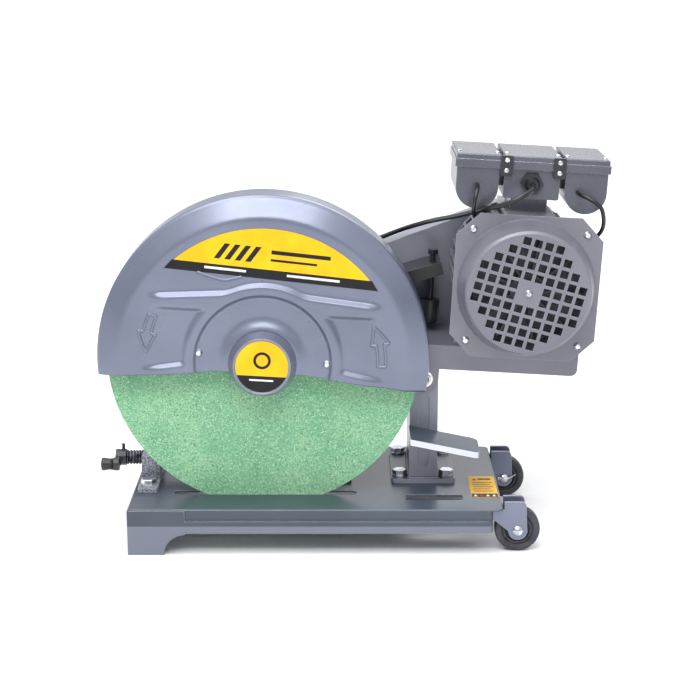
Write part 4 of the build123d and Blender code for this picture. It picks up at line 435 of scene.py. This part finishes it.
# ---------------------------------------------------------------- mesh makers
def piece(name, points, faces, material, body, smooth=True):
    """Mesh piece that rides on a body and takes a slot's finish."""
    mesh = bpy.data.meshes.new(name)
    mesh.from_pydata([tuple(point) for point in points], [], faces)
    mesh.validate()
    mesh.materials.append(material)
    for face in mesh.polygons:
        face.use_smooth = smooth
    thing = bpy.data.objects.new(name, mesh)
    bpy.context.scene.collection.objects.link(thing)
    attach(thing, body)
    return thing


def grid(rows, columns, closed=False):
    """Quads over rows of points, joined round at the ends of each row if closed."""
    across = columns if closed else columns - 1
    faces = []
    for near in range(0, (rows - 1) * columns, columns):
        far = near + columns
        for j in range(across):
            after = (j + 1) % columns
            faces.append((near + j, near + after, far + after, far + j))
    return faces


def lathe(name, start, axis, profile, material, body, steps=64):
    """Piece turned about an axis; profile gives radius and distance from start, in millimetres."""
    axis = Vector(axis).normalized()
    side = axis.orthogonal().normalized()
    other = axis.cross(side)
    points = []
    for radius, along in profile:
        for k in range(steps):
            turn = 2 * pi * k / steps
            out = side * cos(turn) + other * sin(turn)
            points.append(start + axis * (along * MM) + out * (radius * MM))
    faces = grid(len(profile), steps, closed=True)
    faces.append(tuple(range(steps))[::-1])
    faces.append(tuple(range((len(profile) - 1) * steps, len(profile) * steps)))
    return piece(name, points, faces, material, body)


def slab(name, outline, place, low, high, material, body):
    """Flat piece between two heights over an outline; place puts an outline's point at a height."""
    count = len(outline)
    points = [place(*spot, height) for height in (low, high) for spot in outline]
    faces = [tuple(range(count))[::-1], tuple(range(count, 2 * count))]
    for k in range(count):
        after = (k + 1) % count
        faces.append((k, after, count + after, count + k))
    return piece(name, points, faces, material, body, smooth=False)


# turn of a weld's ripple from one point of its bead to the next
RIPPLE_TURN = 2.4


def wire(name, points, radius, material, body, closed=False, sides=3, kind="NURBS",
         ripple=0.0):
    """Round wire, cord or bead of weld along points; a weld's bead ripples."""
    curve = bpy.data.curves.new(name, "CURVE")
    curve.dimensions = "3D"
    curve.bevel_depth = radius * MM
    curve.bevel_resolution = sides
    curve.use_fill_caps = True
    curve.resolution_u = 10
    line = curve.splines.new(kind)
    line.points.add(len(points) - 1)
    for k, (spot, point) in enumerate(zip(line.points, points)):
        spot.co = (*point, 1)
        spot.radius = 1.0 + ripple * sin(k * RIPPLE_TURN)
    line.order_u = 3
    line.use_endpoint_u = not closed
    line.use_cyclic_u = closed
    curve.materials.append(material)
    thing = bpy.data.objects.new(name, curve)
    bpy.context.scene.collection.objects.link(thing)
    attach(thing, body)
    return thing


# ---------------------------------------------------------------- cords
CORD_R, LEAD_R = 3.2, 2.6
MOTOR_REACH, MOTOR_RISE = 115.0, 141.0
GLAND_END_Y, GLAND_V = -75.0, 268.0
SPINDLE_REACH, SPINDLE_RISE = 209.0, 28.0
HANDLE_TURN, HANDLE_Y = 150.0, 20.0
SWITCH_MIDDLE, SWITCH_BACK = 49.5, 15.0
POD_LEFT, POD_RIGHT, POD_FRONT_Y, LEAD_V = 47.0, 183.0, -60.0, 263.0
LEAD_SEAT_R, LEAD_END_Y = 94.0, -73.0


def along_handle(reach, side=0.0):
    """Right and up from the pivot of a point along the handle, and square to it by side."""
    turn = radians(HANDLE_TURN)
    return (
        -SPINDLE_REACH + reach * cos(turn) - side * sin(turn),
        SPINDLE_RISE + reach * sin(turn) + side * cos(turn),
    )


def lead_end(turn, radius):
    """Point round the motor's front shield, where a lead goes in."""
    turn = radians(turn)
    return (MOTOR_REACH + radius * cos(turn), LEAD_END_Y, MOTOR_RISE + radius * sin(turn))


def cord(node, route, radius):
    """Cord held at both ends, along a smooth line through the head's space."""
    points = [on_head(PIVOT, right, depth, up) for right, depth, up in route]
    line = wire(node + "_jacket", points, radius, JACKET, "head", sides=6)
    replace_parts(line, node)


switch_u, switch_v = along_handle(SWITCH_MIDDLE)
cord("switch_cable", [
    (MOTOR_REACH, GLAND_END_Y, GLAND_V),
    (MOTOR_REACH, GLAND_END_Y - 14, GLAND_V),
    (MOTOR_REACH - 6, GLAND_END_Y - 27, GLAND_V - 4),
    (MOTOR_REACH - 19, GLAND_END_Y - 34, GLAND_V - 11),
    (80, -106, 247),
    (62, -92, 240),
    (46, -61, 229),
    (28, -14, 214),
    (8, 36, 200),
    (-6, 72, 189),
    (-34, 98, 174),
    (-80, 106, 151),
    (-128, 103, 129),
    (-172, 93, 108),
    (-209, 80, 87),
    (-231, 73, 73),
    (-246, 65, 61),
    (switch_u, HANDLE_Y + SWITCH_BACK + 16, switch_v),
    (switch_u, HANDLE_Y + SWITCH_BACK, switch_v),
], CORD_R)
cord("lead_left", [
    (POD_LEFT, POD_FRONT_Y, LEAD_V),
    (POD_LEFT, POD_FRONT_Y - 15, LEAD_V),
    (POD_LEFT - 3, POD_FRONT_Y - 25, LEAD_V - 11),
    (POD_LEFT - 5, POD_FRONT_Y - 24, LEAD_V - 27),
    lead_end(130, LEAD_SEAT_R + 14),
    lead_end(130, LEAD_SEAT_R),
], LEAD_R)
cord("lead_right", [
    (POD_RIGHT - 10, POD_FRONT_Y, LEAD_V - 3),
    (POD_RIGHT - 10, POD_FRONT_Y - 15, LEAD_V - 3),
    (POD_RIGHT, POD_FRONT_Y - 27, LEAD_V - 5),
    (POD_RIGHT + 16, POD_FRONT_Y - 30, LEAD_V - 13),
    (POD_RIGHT + 22, POD_FRONT_Y - 25, LEAD_V - 29),
    (POD_RIGHT + 23, POD_FRONT_Y - 19, LEAD_V - 44),
    lead_end(38, LEAD_SEAT_R + 14),
    lead_end(38, LEAD_SEAT_R),
], LEAD_R)


# ---------------------------------------------------------------- wheel guard
GUARD_Y = -95.0
GUARD_R, FACE_R, BEVEL = 211.0, 184.0, 14.0
GUARD_BACK_Y = -36.0
OPEN_R = 42.0
EDGE_IN, EDGE_OUT = 12.7, 31.0
SHEET = 2.0
RIB = 5.2
ARCH_IN, ARCH_OUT = 83.0, 103.0
RIBS_START = 88.0
WING_LOW, WING_TOP, WING_END = 60.0, 92.0, 150.0
WING_BEND, WING_FALL = 45.0, 0.085
FOOT_TOP, FOOT_END = -3.0, 158.0
FOOT_BEND, FOOT_FALL = 98.0, 0.19
COLLAR_R, COLLAR_RISE = 62.0, 6.0
COLUMNS = 260


def ease(x):
    """Smooth step from 0 to 1."""
    x = max(0.0, min(1.0, x))
    return x * x * (3 - 2 * x)


def band(x, low, high, slope):
    """1 between two values, falling smoothly to 0 at them over the slope."""
    return ease((x - low) / slope) * ease((high - x) / slope)


def edge_drop(radius):
    """How far the guard's lower edge lies under the spindle at a radius."""
    share = (radius - OPEN_R) / (GUARD_R - OPEN_R)
    return EDGE_IN + (EDGE_OUT - EDGE_IN) * share


def pressed(right, up):
    """Height of the pressed ribs over the guard's flat face: an arch, two wings and two feet."""
    reach, radius = abs(right), hypot(right, up)
    arch = band(radius, ARCH_IN, ARCH_OUT, 6)
    crest = WING_TOP - WING_FALL * (reach - WING_BEND)
    wing = band(up, WING_LOW, crest, 8)
    wing = wing * ease((WING_END - reach) / 22) * ease((radius - RIBS_START) / 7)
    lip = FOOT_TOP - FOOT_FALL * (reach - FOOT_BEND)
    foot = ease((lip - up) / 6)
    foot = foot * ease((reach - RIBS_START) / 10) * ease((FOOT_END - reach) / 34)
    ribs = RIB * (1 - (1 - arch) * (1 - wing) * (1 - foot))
    return ribs + COLLAR_RISE * ease((COLLAR_R - radius) / (COLLAR_R - OPEN_R)) ** 1.5


def guard_shell():
    """Pressed guard: a ribbed face, a bevel and a deep rim, open below and behind."""
    # radius, and depth behind the face
    flat, bend, rim = FACE_R - 4, 1.3, 2.6
    profile = [(OPEN_R + (flat - OPEN_R) * i / 68, 0.0) for i in range(69)]
    profile += [(FACE_R - 2, 0.15), (FACE_R, 0.6), (FACE_R + 2, bend)]
    slope = BEVEL / (GUARD_R - FACE_R)
    width = GUARD_R - FACE_R - 6
    for i in range(1, 6):
        profile.append((FACE_R + 2 + width * i / 5, bend + slope * width * i / 5))
    profile += [(GUARD_R - 2, BEVEL - 0.9), (GUARD_R - 0.6, BEVEL + 0.6), (GUARD_R, BEVEL + rim)]
    depth = GUARD_BACK_Y - GUARD_Y
    profile += [(GUARD_R, BEVEL + rim + (depth - BEVEL - rim) * i / 6) for i in range(1, 7)]
    points = []
    for radius, back in profile:
        lean = asin(edge_drop(radius) / radius)
        for k in range(COLUMNS):
            turn = -lean + (pi + 2 * lean) * k / (COLUMNS - 1)
            right, up = radius * cos(turn), radius * sin(turn)
            rise = pressed(right, up) if radius < FACE_R - 3 else 0.0
            points.append(on_head(SPINDLE, right, GUARD_Y + back - rise, up))
    shell = piece("guard_shell", points, grid(len(profile), COLUMNS), ENAMEL_GUARD, "head")
    thick = shell.modifiers.new("sheet", "SOLIDIFY")
    thick.thickness = SHEET * MM
    thick.offset = 1.0
    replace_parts(shell, "guard_front")


def arrow(name, start, end, tip):
    """Outline of an arrow pressed round the wheel's rim: turns in degrees from the right."""
    middle, half, head = 150.0, 5.0, 11.5
    corners = [
        (middle - half, start),
        (middle - half, end),
        (middle - head, end),
        (middle - 3, tip),
        (middle + head, end),
        (middle + half, end),
        (middle + half, start),
    ]
    spots = []
    steps = 5
    for near, far in zip(corners, corners[1:] + corners[:1]):
        for k in range(steps):
            radius = near[0] + (far[0] - near[0]) * k / steps
            turn = radians(near[1] + (far[1] - near[1]) * k / steps)
            spots.append(on_head(SPINDLE, radius * cos(turn), GUARD_Y + 0.2, radius * sin(turn)))
    wire(name, spots, 1.9, ENAMEL_GUARD, "head", closed=True)


def crease():
    """Shallow crease under the label."""
    spots = [(-86, 112), (-72, 108), (-54, 103), (-44, 105), (-31, 109)]
    line = [on_head(SPINDLE, right, GUARD_Y + 0.4, up) for right, up in spots]
    wire("guard_crease", line, 2.0, ENAMEL_GUARD, "head")


guard_shell()
arrow("arrow_left", start=180 - 21, end=180 - 12, tip=180 - 2)
arrow("arrow_right", start=1, end=12, tip=21.5)
crease()

# ---------------------------------------------------------------- labels
LABEL_R, LABEL_LOW, STRIP_TOP = 171.0, 107.5, 119.5
LABEL_LEAN = radians(3.2)
LABEL_T, PRINT_T = 0.5, 0.08
HUB_LABEL_R, HUB_LABEL_SPLIT = 33.0, -12.0
# border left round the print of the tray's label
MARGIN = 0.6


def on_label(right, up, height):
    """Point on the guard's label, which is stuck on a little askew."""
    across = right * cos(LABEL_LEAN) + up * sin(LABEL_LEAN)
    above = up * cos(LABEL_LEAN) - right * sin(LABEL_LEAN)
    return on_head(SPINDLE, across, GUARD_Y - height, above)


def sticker(name, outline, place, material):
    """Vinyl cut to an outline, on the head."""
    return slab(name, outline, place, 0, LABEL_T, material, "head")


def mark(name, outline, place, low, material, body="head"):
    """Raised print over a label, from a height up."""
    slab(name, outline, place, low, low + PRINT_T, material, body)


def segment(radius, low, high=None, steps=48):
    """Outline of the part of a disc between two heights."""
    top = radius if high is None else high
    right_low = asin(low / radius)
    right_top = asin(top / radius)
    side = [right_low + (right_top - right_low) * k / steps for k in range(steps + 1)]
    back = side[:-1] if high is None else side
    points = [(radius * cos(turn), radius * sin(turn)) for turn in side]
    points += [(-radius * cos(turn), radius * sin(turn)) for turn in reversed(back)]
    return points


def bar(right, up, width, height, lean=0.0):
    """Slanted bar's outline."""
    shift = lean * height / 2
    return [
        (right - width / 2 - shift, up - height / 2),
        (right + width / 2 - shift, up - height / 2),
        (right + width / 2 + shift, up + height / 2),
        (right - width / 2 + shift, up + height / 2),
    ]


def ring(right, up, outer, inner, steps=40):
    """Ring's outline, cut once so that it is a single loop."""
    turns = [2 * pi * k / steps for k in range(steps + 1)]
    points = [(right + outer * cos(t), up + outer * sin(t)) for t in turns]
    return points + [(right + inner * cos(t), up + inner * sin(t)) for t in reversed(turns)]


def guard_label():
    """Yellow vinyl segment with a black foot and plain generic marks."""
    label = sticker("guard_label", segment(LABEL_R, STRIP_TOP), on_label, YELLOW)
    low_half = sqrt(LABEL_R**2 - LABEL_LOW**2) + 1
    top_half = low_half - 9
    strip = [(-low_half, LABEL_LOW), (low_half, LABEL_LOW), (top_half, STRIP_TOP),
             (-top_half, STRIP_TOP)]
    sticker("guard_label_foot", strip, on_label, BLACK_PRINT)
    bars = [bar(-64 + 13 * k, 137, 7, 20, lean=0.6) for k in range(4)]
    bars += [bar(34, 142, 74, 5), bar(26, 132, 58, 3)]
    for k, outline in enumerate(bars):
        mark(f"guard_label_mark_{k}", outline, on_label, LABEL_T, BLACK_PRINT)
    for k, (right, width) in enumerate(((-58, 52), (52, 66))):
        mark(f"guard_label_line_{k}", bar(right, 114.5, width, 3.0), on_label, LABEL_T,
             WHITE_PRINT)
    return label


def hub_label():
    """Round sticker on the hub cap, yellow over black, with a plain wheel mark."""
    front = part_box("hub_cap")[0].y / MM + 1.0

    def on_hub(right, up, height):
        return on_head(SPINDLE, right, front - height, up)

    label = sticker("hub_label", segment(HUB_LABEL_R, HUB_LABEL_SPLIT), on_hub, YELLOW)
    foot = [(right, -up) for right, up in segment(HUB_LABEL_R, -HUB_LABEL_SPLIT)]
    sticker("hub_label_foot", foot[::-1], on_hub, BLACK_PRINT)
    mark("hub_label_ring", ring(0, 8, outer=11, inner=7.5), on_hub, LABEL_T, BLACK_PRINT)
    mark("hub_label_line", bar(0, -17.5, 30, 2.2), on_hub, LABEL_T, WHITE_PRINT)
    return label


def caution_marks():
    """Plain print on the tray's label: a triangle, lines and a black foot with four small signs."""
    low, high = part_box("caution_label")
    top = high.z / MM
    width, depth = (high.x - low.x) / MM, (high.y - low.y) / MM

    def on_tray(right, back, height):
        return Vector((low.x + right * MM, low.y + back * MM, (top + height) * MM))

    foot, edge = depth * 0.17, width - MARGIN
    strip = [(MARGIN, MARGIN), (edge, MARGIN), (edge, foot), (MARGIN, foot)]
    sign = [(5, depth - 17), (11, depth - 17), (8, depth - 8)]
    mark("caution_foot", strip, on_tray, 0, BLACK_PRINT, "base")
    mark("caution_sign", sign, on_tray, 0, BLACK_PRINT, "base")
    mark("caution_title", bar(21, depth - 12.5, 17, 6), on_tray, 0, BLACK_PRINT, "base")
    for k in range(5):
        # every other line is shorter at its right end
        short = k % 2
        line = bar(width / 2 - short * 2, depth - 26 - 8.5 * k, 26 - 3 * short, 2.0)
        mark(f"caution_line_{k}", line, on_tray, 0, BLACK_PRINT, "base")
    for k in range(4):
        middle = 5.5 + 8 * k
        small = [(middle - 2.6, 3.5), (middle + 2.6, 3.5), (middle, foot - 2.5)]
        mark(f"caution_small_{k}", small, on_tray, PRINT_T, RED_PRINT if k == 1 else WHITE_PRINT,
             "base")


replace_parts(guard_label(), "guard_labels")
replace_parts(hub_label(), "guard_labels")
caution_marks()


# ---------------------------------------------------------------- handle, knobs and hardware
POST_X, POST_W = 97.0, 37.0
POST_FRONT, POST_BACK, POST_FOOT_TOP = -24.0, 86.0, 66.0
WELD_STEP = 2.2
# split pin, right and up from its axle
PIN_BENDS = ((-6, -1), (-9, 1), (-7, 3), (-4, 0.5), (5, 0), (12, 4), (17, 7))
PIN_FORWARD = 17.0
# places beside the pivot, right and up
LID_CLIPS = ((82, 292), (148, 292))
CLIP_OUTLINE = ((-7, -16), (7, -16), (8.5, 0), (7, 10), (-7, 10), (-8.5, 0))
CLIP_SCREWS = (-9, 4)
LID_SCREWS = (23, 71, 83, 147, 159, 207)
LID_SCREW_Y, LID_SCREW_UP = -40, 302
# share of the way from the spindle to the motor, and distance off that line
COVER_SCREWS = ((0.0, 34), (0.0, -34), (1.0, 56), (1.0, -56), (0.5, 0))


def grip():
    """Ribbed rubber grip, closed at its end."""
    start, length, radius, pitch = 64.0, 108.0, 15.5, 5.6
    base, ahead = (
        on_head(PIVOT, right, HANDLE_Y, up)
        for right, up in (along_handle(start), along_handle(start + 10))
    )
    profile = [(11.2, 0), (radius - 1, 0), (radius, 1)]
    for k in range(17):
        at = 6 + pitch * k
        profile += [(radius, at), (radius - 1.4, at + 0.9)]
        profile += [(radius - 1.4, at + 2.5), (radius, at + 3.4)]
    profile += [(radius, length - 4), (radius - 1.2, length - 1.2)]
    profile += [(radius - 4, length), (2, length)]
    shape = lathe("ribbed_grip", base, ahead - base, profile, RUBBER, "head")
    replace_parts(shape, "handle_grip")


def crank_knob():
    """Turned knob on the crank's pin, with a shallow waist."""
    low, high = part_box("vise_knob")
    middle = (low + high) / 2
    start = Vector((high.x, middle.y, middle.z))
    radius, length = (high.z - low.z) / 2 / MM, (high.x - low.x) / MM
    profile = [
        (radius * 0.7, 0),
        (radius * 0.92, 0.8),
        (radius * 0.86, length * 0.35),
        (radius * 0.98, length * 0.7),
        (radius, length * 0.85),
        (radius * 0.92, length * 0.95),
        (radius * 0.5, length),
        (0.5, length),
    ]
    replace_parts(lathe("turned_crank_knob", start, (-1, 0, 0), profile, NYLON, "crank_screw"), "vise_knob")


def weld(name, corners, radius, body, material):
    """Fillet of weld with its ripples, along straight stretches."""
    bead = []
    for near, far in zip(corners, corners[1:]):
        near, far = Vector(near) * MM, Vector(far) * MM
        count = max(2, int((far - near).length / (WELD_STEP * MM)))
        bead += [near.lerp(far, k / count) for k in range(count)]
    bead.append(Vector(corners[-1]) * MM)
    return wire(name, bead, radius, material, body, kind="POLY", ripple=0.2)


def post_weld():
    """Weld round the post's foot."""
    left, right = POST_X - POST_W / 2, POST_X + POST_W / 2
    around = ((left, POST_FRONT), (right, POST_FRONT), (right, POST_BACK), (left, POST_BACK),
              (left, POST_FRONT))
    corners = [(x, y, POST_FOOT_TOP) for x, y in around]
    weld("post_weld", corners, 2.6, "base", ENAMEL_POST)


def split_pin():
    """Split pin bent over in front of the rear caster's axle."""
    middle = Vector(JOINTS["rear_caster_roll"]["pos_m"])
    y = middle.y - PIN_FORWARD * MM
    bends = [middle + Vector((right * MM, 0, up * MM)) for right, up in PIN_BENDS]
    wire("split_pin", [Vector((spot.x, y, spot.z)) for spot in bends], 0.9, ZINC, "base")


def screw(name, start, axis, profile):
    """Small domed screw head on the head."""
    lathe(name, start, axis, profile, ZINC, "head", steps=24)


def lid_fittings():
    """Clips and screws that hold the three lids."""
    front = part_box("box_lids")[0].y / MM
    for k, (right, up) in enumerate(LID_CLIPS):
        def on_lid(across, above, height, right=right, up=up):
            return on_head(PIVOT, right + across, front - height, up + above)

        slab(f"lid_clip_{k}", CLIP_OUTLINE, on_lid, -2, 1.6, ENAMEL_BLACK, "head")
        for j, offset in enumerate(CLIP_SCREWS):
            screw(f"lid_screw_{k}_{j}", on_head(PIVOT, right, front - 1.4, up + offset), FRONT,
                  [(3.4, 0), (3.2, 0.9), (2.2, 1.6), (0.4, 1.8)])
    for k, right in enumerate(LID_SCREWS):
        screw(f"lid_top_screw_{k}", on_head(PIVOT, right, LID_SCREW_Y, LID_SCREW_UP), HEAD_UP,
              [(3.6, -0.4), (3.4, 0.7), (2.4, 1.3), (0.4, 1.5)])


def cover_fittings():
    """Screws on the belt cover's back."""
    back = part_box("belt_cover")[1].y
    span = MOTOR - SPINDLE
    across = Vector((-span.z, 0, span.x)).normalized()
    for k, (share, off) in enumerate(COVER_SCREWS):
        spot = SPINDLE + span * share + across * (off * MM)
        screw(f"belt_cover_screw_{k}", Vector((spot.x, back - 1.8 * MM, spot.z)), (0, 1, 0),
              [(4.2, 0), (4.0, 0.8), (2.8, 1.5), (0.4, 1.7)])


grip()
crank_knob()
post_weld()
split_pin()
lid_fittings()
cover_fittings()


# ---------------------------------------------------------------- floor
def floor():
    """Sheet of studio paper under the saw."""
    reach = 60.0
    corners = [(-reach, -reach, 0), (reach, -reach, 0), (reach, reach, 0), (-reach, reach, 0)]
    mesh = bpy.data.meshes.new("floor")
    mesh.from_pydata(corners, [], [(0, 1, 2, 3)])
    mesh.materials.append(floor_paper())
    paper = bpy.data.objects.new("floor", mesh)
    bpy.context.scene.collection.objects.link(paper)


floor()
